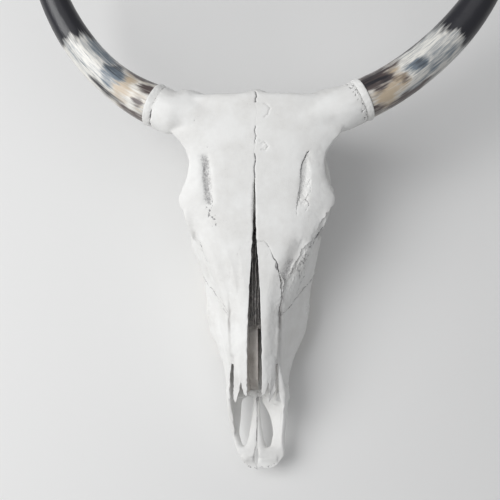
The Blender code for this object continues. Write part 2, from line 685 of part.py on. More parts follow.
def bone_of(middle, size):
    """Name of the bone that a loose piece of the skull belongs to, from the middle and size of its bounds."""
    side = "left" if middle.x > 0 else "right"
    back = -middle.y
    if size.x > 0.2:
        return "cranium"
    if back > 0.41:
        return "incisive_" + side
    if middle.z > -0.022:
        return "nasal_" + side
    return "maxilla_" + side


def loose_pieces(made):
    """The separate pieces of an object's mesh, largest first, as bmeshes."""
    mesh = bmesh.new()
    mesh.from_mesh(made.data)
    label = {}
    groups = []
    for start in mesh.faces:
        if start.index in label:
            continue
        label[start.index] = len(groups)
        queue, group = [start], []
        while queue:
            face = queue.pop()
            group.append(face.index)
            for edge in face.edges:
                for other in edge.link_faces:
                    if other.index not in label:
                        label[other.index] = len(groups)
                        queue.append(other)
        groups.append(group)
    groups.sort(key=len, reverse=True)
    pieces = []
    for group in groups:
        piece = mesh.copy()
        keep = set(group)
        bmesh.ops.delete(piece, geom=[f for f in piece.faces if f.index not in keep], context="FACES")
        pieces.append(piece)
    mesh.free()
    return pieces


# Pieces modelled on their own.


def horn_root(name):
    """Where a horn leaves its collar and the direction it takes."""
    side = SIDES[name]
    rise, lift = math.radians(HORN_RISE[name][0]), math.radians(HORN_LIFT[name][0])
    along = Vector((side * math.cos(rise) * math.cos(lift), math.sin(rise) * math.cos(lift), math.sin(lift)))
    across, back, up = HORN_ROOT[name]
    return at(side * across, back, up), along


def horn_path(name):
    """Points along a horn, from its root to its tip, and the radius at each."""
    side = SIDES[name]
    rise_at, lift_at, radius_at = profile(HORN_RISE[name]), profile(HORN_LIFT[name]), profile(HORN_RADIUS[name])
    point, _ = horn_root(name)
    step = HORN_LENGTH / HORN_STEPS
    path, radii = [point], [radius_at(0)]
    for i in range(HORN_STEPS):
        middle = (i + 0.5) * step
        rise, lift = math.radians(rise_at(middle)), math.radians(lift_at(middle))
        along = Vector((side * math.cos(rise) * math.cos(lift), math.sin(rise) * math.cos(lift), math.sin(lift)))
        point = point + step * along
        path.append(point)
        radii.append(radius_at(middle + step / 2))
    return path, radii


def add_horn(mesh, name):
    path, radii = horn_path(name)
    radii[-1] = 0.0020
    rings = []
    for i, point in enumerate(path):
        if i == 0:
            along = horn_root(name)[1]
        else:
            along = (path[min(i + 1, len(path) - 1)] - path[i - 1]).normalized()
        side = along.cross(Vector((0, 0, 1))).normalized()
        over = side.cross(along)
        angles = [2 * math.pi * k / HORN_SIDES for k in range(HORN_SIDES)]
        rings.append([point + radii[i] * (math.cos(a) * side + math.sin(a) * over) for a in angles])
    add_loft(mesh, rings)


def add_collar(mesh, name):
    """The ring of rough bone at the foot of a horn."""
    root, along = horn_root(name)
    turn = along.to_track_quat("Z", "Y").to_matrix().to_4x4()
    length = COLLAR_LENGTH - 2 * GAP
    rings = []
    for share, radius in ((0, 0.96), (0.2, 1), (0.8, 1), (1, 0.95)):
        centre = root - along * (GAP + length * (1 - share))
        angles = [2 * math.pi * k / COLLAR_SIDES for k in range(COLLAR_SIDES)]
        spoke = [turn @ Vector((math.cos(a), math.sin(a), 0)) for a in angles]
        rings.append([centre + radius * COLLAR_RADIUS * s for s in spoke])
    add_loft(mesh, rings)


def add_horn_space(mesh, name):
    """Everything beyond the flat end of the bone on which a collar sits."""
    root, along = horn_root(name)
    turn = along.to_track_quat("Z", "Y").to_matrix().to_4x4()
    centre = root + along * (0.03 - COLLAR_LENGTH)
    place = Matrix.Translation(centre) @ turn @ Matrix.Diagonal((0.09, 0.09, 0.06, 1))
    bmesh.ops.create_cube(mesh, size=1, matrix=place)


def add_tooth(mesh, side, start, length, width):
    """One cheek tooth, from its root in the jaw to below the floor, which wears it flat."""
    middle = start - length / 2
    across = tooth_row_half_width(middle)
    slope = (tooth_row_half_width(middle - 0.01) - tooth_row_half_width(middle + 0.01)) / 0.02
    half_long, half_wide = (length - TOOTH_SPACE) / 2, width / 2
    rings = []
    for lift, swell in ((-0.004, 0.96), (0.012, 1.0), (TOOTH_TOP, 0.90)):
        ring = []
        for u, v in ((-1, -0.55), (-0.7, -1), (0.7, -1), (1, -0.55), (1, 0.55), (0.7, 1), (0, 0.9), (-0.7, 1), (-1, 0.55)):
            forward, outward = u * half_long * swell, v * half_wide * swell
            back = middle + forward
            place = across + outward - slope * forward
            ring.append(at(side * place, back, floor_height(back) + lift))
        rings.append(ring)
    add_loft(mesh, rings)


def add_teeth(mesh, side):
    start = TOOTH_ROW_START
    for length, width in TEETH:
        add_tooth(mesh, side, start, length, width)
        start -= length


def add_vomer(mesh):
    rings = []
    for back in VOMER_STATIONS:
        low = floor_height(back) + palate_lift(back) + PALATE_THICKNESS + 0.0022
        high = low + vomer_height(back)
        wide = VOMER_HALF_WIDTH
        rings.append([at(x, back, z) for x, z in ((wide, low), (wide, high), (-wide, high), (-wide, low))])
    add_loft(mesh, rings)


def add_floor(mesh):
    """Everything below the floor, in the face's frame."""
    half, depth = 0.6, 0.4
    outline = []
    for across, back in ((-half, -half), (half, -half), (half, half), (-half, half)):
        outline.append(at(across, back, floor_height(back)))
    add_plate(mesh, outline, Vector((0, 0, -depth)))


def build_skull():
    """The bones in one piece, hollowed and thinned out."""
    mesh = bmesh.new()
    add_forms(mesh)
    skull = remeshed(object_of("skull", mesh))
    for hollow in (add_sockets, add_grooves, add_cavity, add_throat, add_brain_opening):
        cut(skull, hollow)
    mesh = bmesh.new()
    mesh.from_mesh(skull.data)
    add_bars(mesh)
    bpy.data.objects.remove(skull)
    skull = remeshed(object_of("skull", mesh))
    smooth = skull.modifiers.new("Smooth", "SMOOTH")
    smooth.iterations = SMOOTH_STEPS
    thin = skull.modifiers.new("Decimate", "DECIMATE")
    thin.ratio = BONE_FACES / sum(len(p.vertices) - 2 for p in skull.data.polygons)
    return settled(skull)


def part_bones(skull):
    """Cuts the skull along its seams and returns a mesh for each named bone."""
    for name in SIDES:
        cut(skull, add_horn_space, name)
    for side in SIDES.values():
        join(skull, add_teeth, side)
    cut(skull, add_floor)
    for outline in (SIDE_SLIT, FORK):
        cut(skull, add_nostril_edges, outline)
    for build in (add_nasal_gap, add_front_gap, add_nasal_walls, add_middle_wall):
        cut(skull, build)
    for side in SIDES.values():
        cut(skull, add_cheek_wall, side)
        cut(skull, add_beak_wall, side)
    bones = {}
    for piece in loose_pieces(skull):
        places = [v.co for v in piece.verts]
        low = Vector([min(p[k] for p in places) for k in range(3)])
        high = Vector([max(p[k] for p in places) for k in range(3)])
        name = bone_of((low + high) / 2, high - low)
        if name in bones:
            piece.free()
        else:
            bones[name] = piece
    bpy.data.objects.remove(skull)
    return bones


def main():
    for old in list(bpy.data.objects):
        bpy.data.objects.remove(old)
    meshes = part_bones(build_skull())
    for name in SIDES:
        for kind, build in (("horn_collar_", add_collar), ("horn_", add_horn)):
            mesh = bmesh.new()
            build(mesh, name)
            meshes[kind + name] = mesh
    mesh = bmesh.new()
    add_vomer(mesh)
    meshes["vomer"] = mesh

    tilt = Matrix.Rotation(FACE_SLOPE, 4, "X")
    places = []
    for mesh in meshes.values():
        mesh.transform(tilt)
        places += [v.co.copy() for v in mesh.verts]
    low = [min(p[k] for p in places) for k in range(3)]
    high = [max(p[k] for p in places) for k in range(3)]
    centre = Vector(((low[0] + high[0]) / 2, (low[1] + high[1]) / 2, low[2]))
    for name, mesh in meshes.items():
        bmesh.ops.translate(mesh, verts=mesh.verts, vec=-centre)
        bmesh.ops.triangulate(mesh, faces=mesh.faces)
        made = object_of(name, mesh)
        finish = HORN if name in ("horn_left", "horn_right") else INNER_BONE if name == "vomer" else BONE
        made.data.materials.clear()
        made.data.materials.append(material(name, *finish))
    return centre


if __name__ == "__main__":
    main()
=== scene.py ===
"""A bleached cow skull with polished horns, finished over its packed bones.

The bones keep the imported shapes. Each is taken up as a fine skin, and worked as a carver would: seams first,
then cracks, channels, flakes and pores. The horns, the cheek teeth and the scrolls in the nose are built
afresh. Places on the face are (across to the animal's left, back, up off the brow), in mm. Back is the
distance from the poll along the brow, so it grows towards the nose.
"""

from __future__ import annotations

import logging
import math
from dataclasses import dataclass, field, replace
from enum import Enum
from typing import Callable, Sequence

import bmesh
import bpy
import numpy as np
from mathutils import Matrix, Vector
from mathutils.bvhtree import BVHTree

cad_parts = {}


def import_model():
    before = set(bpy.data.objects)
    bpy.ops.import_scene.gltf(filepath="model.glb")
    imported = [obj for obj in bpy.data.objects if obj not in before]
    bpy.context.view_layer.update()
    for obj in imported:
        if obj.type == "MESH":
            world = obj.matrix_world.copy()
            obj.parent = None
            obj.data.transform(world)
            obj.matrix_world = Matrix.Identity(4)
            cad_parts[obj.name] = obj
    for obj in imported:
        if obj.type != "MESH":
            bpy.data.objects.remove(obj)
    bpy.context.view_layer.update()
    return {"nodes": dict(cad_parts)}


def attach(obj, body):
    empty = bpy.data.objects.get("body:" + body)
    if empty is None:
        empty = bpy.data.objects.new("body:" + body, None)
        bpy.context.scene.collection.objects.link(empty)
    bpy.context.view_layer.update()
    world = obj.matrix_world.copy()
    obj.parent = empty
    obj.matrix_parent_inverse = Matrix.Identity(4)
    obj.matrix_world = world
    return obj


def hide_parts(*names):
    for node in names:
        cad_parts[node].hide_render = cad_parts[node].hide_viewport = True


log = logging.getLogger("skull")
Points = Sequence[tuple[float, ...]]
Tree = bpy.types.NodeTree
Output = bpy.types.NodeSocket
MM = 0.001


class Side(Enum):
    """The animal's own left, towards +X, and its right."""

    LEFT = 1
    RIGHT = -1

    @property
    def word(self) -> str:
        """The side as node names spell it."""
        return self.name.lower()


class Slot(Enum):
    """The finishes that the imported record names."""

    BONE = "bone"
    INNER_BONE = "inner_bone"
    HORN = "horn"


@dataclass(frozen=True)
class FaceFrame:
    """The skull's own frame, which leans down towards the nose, in the frame of the floor."""

    slope: float = math.radians(16)
    shift: tuple[float, float, float] = (-0.016894, 0.081092, 0.197)

    def row(self, places: np.ndarray) -> np.ndarray:
        """Takes face places in mm to the floor's frame in metres.

        Args:
            places: rows of (across, back, up).
        Returns:
            Rows of (x, y, z).
        """
        across, back, up = (np.asarray(places, float).reshape(-1, 3) * MM).T
        c, s = math.cos(self.slope), math.sin(self.slope)
        return np.stack([across, -back * c - up * s, -back * s + up * c], 1) + np.array(self.shift)

    def face(self, points: np.ndarray) -> np.ndarray:
        """Takes points of the floor's frame in metres to face places in mm.

        Args:
            points: rows of (x, y, z).
        Returns:
            Rows of (across, back, up).
        """
        x, y, z = (np.asarray(points, float).reshape(-1, 3) - np.array(self.shift)).T
        c, s = math.cos(self.slope), math.sin(self.slope)
        return np.stack([x, -(y * c + z * s), -y * s + z * c], 1) / MM

    def point(self, across: float, back: float, up: float) -> Vector:
        """One face place in mm as a vector of the floor's frame."""
        return Vector(self.row(np.array([[across, back, up]]))[0])

    @staticmethod
    def floor(back: np.ndarray | float) -> np.ndarray | float:
        """How high off the brow the floor lies, in mm, at distances back."""
        return -204.9 + 0.2867 * back


FACE = FaceFrame()
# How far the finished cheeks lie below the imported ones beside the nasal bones, in mm, by their distance back.
CHEEK_FALL = {222: 0.0, 262: 4.5, 300: 7.0, 345: 7.0, 368: 4.0, 390: 0.0}
# How dusty the nose's inside is, and how much painted shade darkens it, by the distance back.
NOSE_DUST_AND_SHADE = {150: 1.0, 296: 1.0, 316: 0.32, 400: 0.08}
# Bones closer than this, in metres, meet in a seam.
SEAM_GAP = 0.0008
# The cosine between two faces below which the edge between them stays sharp.
SHARP_COSINE = 0.45
# Edges where faces turn by more than this are shaded sharp.
BONE_EDGE = math.radians(55)
TOOTH_EDGE = math.radians(50)


def eased(value: np.ndarray, start: float, end: float) -> np.ndarray:
    """How far values have come from start to end, from 0 to 1, with soft ends.

    Args:
        value: the values.
        start: where the share is 0.
        end: where the share is 1; it may lie below start.
    Returns:
        The shares.
    """
    share = np.clip((value - start) / (end - start), 0, 1)
    return share * share * (3 - 2 * share)


def profile(table: dict[float, float]) -> Callable[[np.ndarray], np.ndarray]:
    """A smooth function through a table's values, which never overshoots them.

    Args:
        table: places and the values there.
    Returns:
        A function of an array of places.
    """
    xs = np.array(sorted(table), float)
    ys = np.array([table[x] for x in sorted(table)], float)
    slopes = np.diff(ys) / np.diff(xs)
    tangents = np.zeros(len(xs))
    for i in range(1, len(xs) - 1):
        if slopes[i - 1] * slopes[i] > 0:
            tangents[i] = 2 * slopes[i - 1] * slopes[i] / (slopes[i - 1] + slopes[i])
    tangents[0], tangents[-1] = slopes[0], slopes[-1]

    def value(at: np.ndarray) -> np.ndarray:
        """The values at places.

        Args:
            at: the places.
        Returns:
            One value for each.
        """
        at = np.clip(np.asarray(at, float), xs[0], xs[-1])
        i = np.clip(np.searchsorted(xs, at, side="right") - 1, 0, len(xs) - 2)
        step = xs[i + 1] - xs[i]
        t = (at - xs[i]) / step
        start = ys[i] * (1 + 2 * t) + tangents[i] * step * t
        end = ys[i + 1] * (3 - 2 * t) + tangents[i + 1] * step * (t - 1)
        return start * (1 - t) ** 2 + end * t * t

    return value


def grain(points: np.ndarray, size: float, seed: int = 0) -> np.ndarray:
    """Smooth noise from -1 to 1, the same each run.

    Args:
        points: rows of places in mm.
        size: distance between the noise's own points, in mm.
        seed: picks one of many such noises.
    Returns:
        One value for each place.
    """
    cell = points / size + np.array([seed * 13.7, seed * 7.3, seed * 3.1])
    low = np.floor(cell).astype(np.int64)
    part = cell - low
    part = part * part * (3 - 2 * part)
    total = np.zeros(len(points))
    for corner in range(8):
        offset = np.array([(corner >> k) & 1 for k in range(3)])
        key = ((low + offset) * np.array([73856093, 19349663, 83492791])).sum(1) & 0x7FFFFFFF
        key = ((key ^ (key >> 15)) * 0x2C1B3C6D) & 0x7FFFFFFF
        key = ((key ^ (key >> 12)) * 0x297A2D39) & 0x7FFFFFFF
        weight = np.prod(np.where(offset, part, 1 - part), axis=1)
        total += weight * ((key ^ (key >> 15)) / 0x3FFFFFFF - 1)
    return total


def narrowed(places: np.ndarray) -> np.ndarray:
    """How far face places lie further to the right than packed.

    The left cheek is flatter below the eye, the slit beside the right nasal bone is wider, and the left front
    opening tapers.

    Args:
        places: rows of (across, back, up).
    Returns:
        One distance in mm for each.
    """
    across, back, up = places.T
    cheek = 5.5 * eased(across, 66, 88) * eased(back, 166, 184) * eased(back, 236, 208) * eased(up, -20, -38)
    slit = 2.2 * eased(across, -40, -33.5) * eased(across, -29.6, -31)
    slit = slit * eased(back, 358, 366) * eased(back, 412, 400) * eased(up, -44, -34)
    opening = 6.5 * eased(back, 440, 405) * eased(back, 388, 396)
    return cheek + slit + opening * eased(across, 6, 13) * eased(across, 33, 22)


def fallen(places: np.ndarray) -> np.ndarray:
    """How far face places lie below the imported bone.

    The nasal bones' outer halves roll over into the cheeks, and the foot of the left incisive bone slopes
    outwards.

    Args:
        places: rows of (across, back, up).
    Returns:
        One distance in mm for each.
    """
    across, back, up = places.T
    foot = 13 * eased(across, 35.5, 40.5) * eased(back, 376, 384) * eased(back, 414, 398)
    cheek = profile(CHEEK_FALL)(back) * eased(np.abs(across + 2), 12, 33)
    return foot * eased(up, -44, -30) + cheek * eased(up, -62, -25)


def columns_at(rows: Points, step: float) -> list[np.ndarray]:
    """Fills a table in.

    Args:
        rows: the table, with places that rise in its first column.
        step: the distance between the places that are wanted.
    Returns:
        The places, and a smooth line through each other column at them.
    """
    table = np.array(rows, float)
    at = np.arange(table[0, 0], table[-1, 0], step)
    return [at, *(profile(dict(zip(table[:, 0], column)))(at) for column in table.T[1:])]


@dataclass
class Route:
    """A line over the bone, through face places in mm."""

    places: Points

    def laid(self, skin: BVHTree, step: float = 3.0, reach: float = 14.0) -> "Route":
        """The line moved onto a bone's skin, in short steps.

        Args:
            skin: the bone, in face places.
            step: the length of a step.
            reach: how far a place may lie from the bone.
        Returns:
            The line on the skin.
        """
        line = [Vector(p) for p in self.places]
        found = []
        for a, b in zip(line, line[1:]):
            count = max(1, round((b - a).length / step))
            for place in (a.lerp(b, k / count) for k in range(count)):
                found.append(skin.find_nearest(place, reach)[0] or place)
        found.append(skin.find_nearest(line[-1], reach)[0] or line[-1])
        return Route([tuple(p) for p in found])

    def measure(self, points: np.ndarray) -> tuple[np.ndarray, np.ndarray, np.ndarray]:
        """How points lie to the line.

        Args:
            points: rows of face places in mm.
        Returns:
            The distance of each; the share of the line that lies before it; and its side, above 0 where it
            lies to the animal's left of a line that runs from the poll to the nose.
        """
        line = np.array(self.places, float)
        line = line if len(line) > 1 else np.repeat(line, 2, axis=0)
        steps = line[1:] - line[:-1]
        lengths = np.maximum(np.linalg.norm(steps, axis=1), 1e-6)
        before = np.concatenate([[0], np.cumsum(lengths)])
        near = np.full(len(points), 1e9)
        along = np.zeros(len(points))
        turn = np.zeros(len(points))
        for i, step in enumerate(steps):
            away = points - line[i]
            t = np.clip(away @ step / (lengths[i] ** 2), 0, 1)
            gap = np.linalg.norm(away - t[:, None] * step, axis=1)
            closer = gap < near
            near[closer] = gap[closer]
            along[closer] = ((before[i] + t * lengths[i]) / before[-1])[closer]
            turn[closer] = (away[:, 0] * step[1] - away[:, 1] * step[0])[closer]
        return near, along, np.sign(turn)


@dataclass
class Skin:
    """A triangle mesh as arrays, while it is being worked.

    Its fields hold one value for each point, which new points take as the mean of their neighbours.
    """

    points: np.ndarray
    faces: np.ndarray
    fields: dict[str, np.ndarray] = field(default_factory=dict)

    @classmethod
    def of_node(cls, node: bpy.types.Object, cut: float | None = None) -> "Skin":
        """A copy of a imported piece, with its loose triangles merged.

        Args:
            node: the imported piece.
            cut: the height in metres below which it is cut off flat, if it is.
        Returns:
            Its skin.
        """
        mesh = bmesh.new()
        mesh.from_mesh(node.data)
        bmesh.ops.remove_doubles(mesh, verts=mesh.verts, dist=1e-6)
        if cut is not None:
            whole = list(mesh.verts) + list(mesh.edges) + list(mesh.faces)
            below = {"plane_co": (0, 0, cut), "plane_no": (0, 0, -1), "clear_outer": True}
            bmesh.ops.bisect_plane(mesh, geom=whole, **below)
            bmesh.ops.holes_fill(mesh, edges=[e for e in mesh.edges if e.is_boundary])
            bmesh.ops.triangulate(mesh, faces=mesh.faces)
            bmesh.ops.recalc_face_normals(mesh, faces=mesh.faces)
        mesh.verts.index_update()
        points = np.array([v.co for v in mesh.verts])
        faces = np.array([[v.index for v in f.verts] for f in mesh.faces])
        mesh.free()
        places = FACE.face(points)
        places[:, 2] -= fallen(places)
        places[:, 0] -= narrowed(places)
        return cls(FACE.row(places), faces)

    def edges(self) -> tuple[np.ndarray, np.ndarray]:
        """Finds the edges.

        Returns:
            Them as pairs of points, and the three edges of each face.
        """
        count = len(self.points)
        pairs = np.sort(self.faces[:, [[0, 1], [1, 2], [2, 0]]].reshape(-1, 2), axis=1)
        keys, sides = np.unique(pairs[:, 0] * count + pairs[:, 1], return_inverse=True)
        return np.stack([keys // count, keys % count], 1), sides.reshape(-1, 3)

    def face_normals(self) -> np.ndarray:
        """Each face's normal, as long as twice its area."""
        a, b, c = (self.points[self.faces[:, k]] for k in range(3))
        return np.cross(b - a, c - a)

    def facing(self) -> np.ndarray:
        """Each face's unit normal."""
        flat = self.face_normals()
        return flat / np.maximum(np.linalg.norm(flat, axis=1, keepdims=True), 1e-15)

    def normals(self) -> np.ndarray:
        """Each point's unit normal."""
        total = summed(self.faces, np.repeat(self.face_normals(), 3, axis=0), len(self.points))
        return total / np.maximum(np.linalg.norm(total, axis=1, keepdims=True), 1e-12)

    def divided(self, creases: np.ndarray) -> tuple["Skin", np.ndarray]:
        """Quarters each face and rounds the whole, but for its creases.

        Args:
            creases: whether each edge stays sharp, in the order of edges().
        Returns:
            The finer skin and its creases.
        """
        points, count = self.points, len(self.points)
        pairs, sides = self.edges()
        opposite = summed(sides, points[self.faces[:, [2, 0, 1]].reshape(-1)], len(pairs))
        middle = points[pairs].mean(1)
        fresh = np.where(creases[:, None], middle, 0.75 * middle + 0.125 * opposite)
        valence = np.bincount(pairs.ravel(), minlength=count)[:, None]
        around = summed(pairs, points[pairs[:, ::-1].reshape(-1)], count)
        share = np.where(valence == 3, 3 / 16, 3 / (8 * np.maximum(valence, 1)))
        rounded = points * (1 - valence * share) + share * around
        sharp = pairs[creases]
        sharp_valence = np.bincount(sharp.ravel(), minlength=count)[:, None]
        sharp_around = summed(sharp, points[sharp[:, ::-1].reshape(-1)], count)
        line = 0.75 * points + 0.125 * sharp_around
        kept = np.where(sharp_valence < 2, rounded, np.where(sharp_valence == 2, line, points))
        a, b, c = self.faces.T
        ab, bc, ca = (sides + count).T
        quarters = ((a, ab, ca), (ab, b, bc), (ca, bc, c), (ab, bc, ca))
        faces = np.concatenate([np.stack(corners, 1) for corners in quarters])
        fields = {k: np.concatenate([v, v[pairs].mean(1)]) for k, v in self.fields.items()}
        finer = Skin(np.concatenate([kept, fresh]), faces, fields)
        total = len(finer.points)
        halves = np.concatenate([np.stack([sharp[:, k], np.flatnonzero(creases) + count], 1) for k in (0, 1)])
        pairs = finer.edges()[0]
        return finer, np.isin(pairs[:, 0] * total + pairs[:, 1], halves[:, 0] * total + halves[:, 1])

    def refined(self, size: Callable[["Skin"], np.ndarray], rounds: int = 7) -> "Skin":
        """Halves edges until none is longer than is wanted there.

        Args:
            size: gives the edge length wanted at each point of a skin.
            rounds: the most times that an edge is halved.
        Returns:
            The finer skin.
        """
        skin = self
        for _ in range(rounds):
            pairs, sides = skin.edges()
            ends = skin.points[pairs]
            long = np.linalg.norm(ends[:, 0] - ends[:, 1], axis=1) > 1.35 * size(skin)[pairs].mean(1)
            if not long.any():
                break
            number = np.cumsum(long) - 1 + len(skin.points)
            split, fresh = long[sides], number[sides]
            code = split @ np.array([1, 2, 4])
            parts = [skin.faces[code == 0]]
            for turn in range(3):
                corners, mids = np.roll(skin.faces, -turn, axis=1), np.roll(fresh, -turn, axis=1)
                first, second, third = np.roll(split, -turn, axis=1).T
                one = first & ~second & ~third
                (a, b, c), m = corners[one].T, mids[one, 0]
                parts += [np.stack([a, m, c], 1), np.stack([m, b, c], 1)]
                two = first & second & ~third
                (a, b, c), m, n = corners[two].T, mids[two, 0], mids[two, 1]
                parts += [np.stack([m, b, n], 1), np.stack([a, m, n], 1), np.stack([a, n, c], 1)]
            (a, b, c), (ab, bc, ca) = skin.faces[code == 7].T, fresh[code == 7].T
            parts += [np.stack(f, 1) for f in ((a, ab, ca), (ab, b, bc), (ca, bc, c), (ab, bc, ca))]
            fields = {k: np.concatenate([v, v[pairs[long]].mean(1)]) for k, v in skin.fields.items()}
            skin = Skin(np.concatenate([skin.points, ends[long].mean(1)]), np.concatenate(parts), fields)
        return skin

    def relaxed(self, steps: int, weight: np.ndarray) -> None:
        """Draws each point towards its neighbours and partly back, which smooths without shrinking.

        Args:
            steps: how many times.
            weight: how much of it each point takes, from 0 to 1.
        """
        pairs = self.edges()[0]
        count = len(self.points)
        valence = np.maximum(np.bincount(pairs.ravel(), minlength=count), 1)[:, None]
        for step in range(2 * steps):
            mean = summed(pairs, self.points[pairs[:, ::-1].reshape(-1)], count) / valence
            share = 0.55 if step % 2 == 0 else -0.56
            self.points += share * weight[:, None] * (mean - self.points)

    def joined(self, rings: np.ndarray) -> "Skin":
        """The skin with a closed tube added to it.

        Args:
            rings: the tube's rings of points, from end to end.
        Returns:
            Both as one skin; the tube's fields are 0.
        """
        rows, columns = rings.shape[:2]
        points = np.concatenate([self.points, tube_points(rings)])
        faces = np.concatenate([self.faces, tube_faces(rows, columns) + len(self.points)])
        fields = {k: np.concatenate([v, np.zeros(rows * columns + 2)]) for k, v in self.fields.items()}
        return Skin(points, faces, fields)

    def mesh(self, name: str) -> bpy.types.Mesh:
        """The finished mesh, with its fields as attributes.

        Args:
            name: the mesh's name.
        Returns:
            A smooth-shaded mesh.
        """
        data = bpy.data.meshes.new(name)
        data.vertices.add(len(self.points))
        data.vertices.foreach_set("co", self.points.astype(np.float32).ravel())
        data.loops.add(self.faces.size)
        data.loops.foreach_set("vertex_index", self.faces.astype(np.int32).ravel())
        data.polygons.add(len(self.faces))
        data.polygons.foreach_set("loop_start", np.arange(0, self.faces.size, 3, dtype=np.int32))
        data.update(calc_edges=True)
        data.validate()
        data.shade_smooth()
        data.set_sharp_from_angle(angle=BONE_EDGE)
        for key, values in self.fields.items():
            write(data, key, values)
        return data


def tube_points(rings: np.ndarray) -> np.ndarray:
    """A tube's rings as rows of points, and the middle of its first and its last ring after them."""
    return np.concatenate([rings.reshape(-1, 3), [rings[0].mean(0), rings[-1].mean(0)]])


def tube_faces(rows: int, columns: int) -> np.ndarray:
    """The triangles of a tube that its two end points close.

    Args:
        rows: how many rings it has.
        columns: how many points each ring has.
    Returns:
        Triangles of the points as tube_points() orders them.
    """
    index = np.arange(rows * columns).reshape(rows, columns)
    after = np.roll(index, -1, axis=1)
    a, b, c, d = index[:-1], after[:-1], after[1:], index[1:]
    tips = np.full(columns, rows * columns)
    corners = ((a, b, c), (a, c, d), (after[0], index[0], tips), (index[-1], after[-1], tips + 1))
    return np.concatenate([np.stack(three, -1).reshape(-1, 3) for three in corners])


def outwards(data: bpy.types.Mesh) -> None:
    """Turns faces outwards.

    Args:
        data: a closed mesh.
    """
    mesh = bmesh.new()
    mesh.from_mesh(data)
    bmesh.ops.recalc_face_normals(mesh, faces=mesh.faces)
    mesh.to_mesh(data)
    mesh.free()


def write(data: bpy.types.Mesh, key: str, values: np.ndarray) -> None:
    """Writes one number or three for each point to a mesh's attribute."""
    kind, slot = ("FLOAT", "value") if values.ndim == 1 else ("FLOAT_VECTOR", "vector")
    data.attributes.new(key, kind, "POINT").data.foreach_set(slot, values.astype(np.float32).ravel())


def taken(data: bpy.types.Mesh, key: str) -> np.ndarray:
    """Reads an attribute and takes it off its mesh.

    Args:
        data: the mesh.
        key: the attribute's name.
    Returns:
        One number for each point.
    """
    values = np.zeros(len(data.vertices))
    data.attributes[key].data.foreach_get("value", values)
    data.attributes.remove(data.attributes[key])
    return values


def placed(name: str, data: bpy.types.ID, finish: bpy.types.Material | None = None) -> bpy.types.Object:
    """Puts a new object in the scene.

    Args:
        name: its name.
        data: its mesh, light or camera.
        finish: its material, where the mesh has none yet.
    Returns:
        The object.
    """
    made = bpy.data.objects.new(name, data)
    bpy.context.scene.collection.objects.link(made)
    if finish is not None:
        data.materials.append(finish)
    return made


def drift(places: np.ndarray, size: float, seed: int) -> np.ndarray:
    """Smooth noise of three values for each place, from -1 to 1.

    Args:
        places: rows of places in mm.
        size: distance between the noise's own points, in mm.
        seed: picks one of many such noises.
    Returns:
        Rows of three values.
    """
    return np.stack([grain(places, size, seed + axis) for axis in range(3)], 1)


def summed(groups: np.ndarray, values: np.ndarray, count: int) -> np.ndarray:
    """Adds rows of values up by the group that each belongs to.

    Args:
        groups: the group of each row.
        values: rows of three numbers.
        count: how many groups there are.
    Returns:
        One row for each group.
    """
    flat = groups.reshape(-1)
    return np.stack([np.bincount(flat, values[:, k], count) for k in range(3)], 1)


def linear(hexed: str) -> tuple[float, float, float, float]:
    """An sRGB hex colour as linear values.

    Args:
        hexed: six hex digits.
    Returns:
        Red, green, blue and an alpha of 1.
    """
    parts = [int(hexed[i : i + 2], 16) / 255 for i in (0, 2, 4)]
    red, green, blue = (p / 12.92 if p <= 0.04045 else ((p + 0.055) / 1.055) ** 2.4 for p in parts)
    return red, green, blue, 1.0


def add_node(tree: Tree, kind: str, settings: dict | None = None, **inputs: object) -> bpy.types.Node:
    """Adds a node with its settings, values and links.

    Args:
        tree: the tree that it joins.
        kind: its type name.
        settings: its own properties, by name.
        inputs: a value or an output for each input, by name with _ for a space, or by i and its number.
    Returns:
        The node.
    """
    node = tree.nodes.new(kind)
    for key, value in (settings or {}).items():
        setattr(node, key, value)
    for key, value in inputs.items():
        if key[0] == "i" and key[1:].isdigit():
            socket = node.inputs[int(key[1:])]
        else:
            socket = next(s for s in node.inputs if s.enabled and s.name.replace(" ", "_") == key)
        if isinstance(value, bpy.types.NodeSocket):
            tree.links.new(value, socket)
        else:
            socket.default_value = value
    return node


def maths(tree: Tree, operation: str, *values: object, clamp: bool = False) -> Output:
    """What a Math node gives for one to three numbers or outputs."""
    inputs = {f"i{number}": value for number, value in enumerate(values)}
    return add_node(tree, "ShaderNodeMath", {"operation": operation, "use_clamp": clamp}, **inputs).outputs[0]


def ramp(tree: Tree, value: Output, start: float, end: float, low: float = 0.0, high: float = 1.0) -> Output:
    """An output brought from the range of start to end to that of low to high."""
    spread = {"From_Min": start, "From_Max": end, "To_Min": low, "To_Max": high}
    return add_node(tree, "ShaderNodeMapRange", Value=value, **spread).outputs["Result"]


def noise(tree: Tree, place: Output, size_mm: float, seed: float | None = None, **inputs: float) -> Output:
    """Adds soft noise.

    Args:
        tree: the tree that it joins.
        place: the places in metres.
        size_mm: how large its spots are.
        seed: picks one of many such noises.
        inputs: the node's other values, by name.
    Returns:
        The noise, from 0 to 1.
    """
    inputs = {"Vector": place, "Scale": 1000 / size_mm, **inputs}
    if seed is None:
        return add_node(tree, "ShaderNodeTexNoise", **inputs).outputs["Fac"]
    return add_node(tree, "ShaderNodeTexNoise", {"noise_dimensions": "4D"}, W=seed, **inputs).outputs["Fac"]


def mixed(tree: Tree, share: Output, ground: object, cover: object) -> Output:
    """A colour of which another covers a share; each is a linear colour or an output."""
    made = add_node(tree, "ShaderNodeMix", {"data_type": "RGBA"}, Factor=share, i6=ground, i7=cover)
    return made.outputs[2]


def read(tree: Tree, key: str) -> Output:
    """A mesh's own attribute, as one number."""
    return add_node(tree, "ShaderNodeAttribute", {"attribute_name": key}).outputs["Fac"]


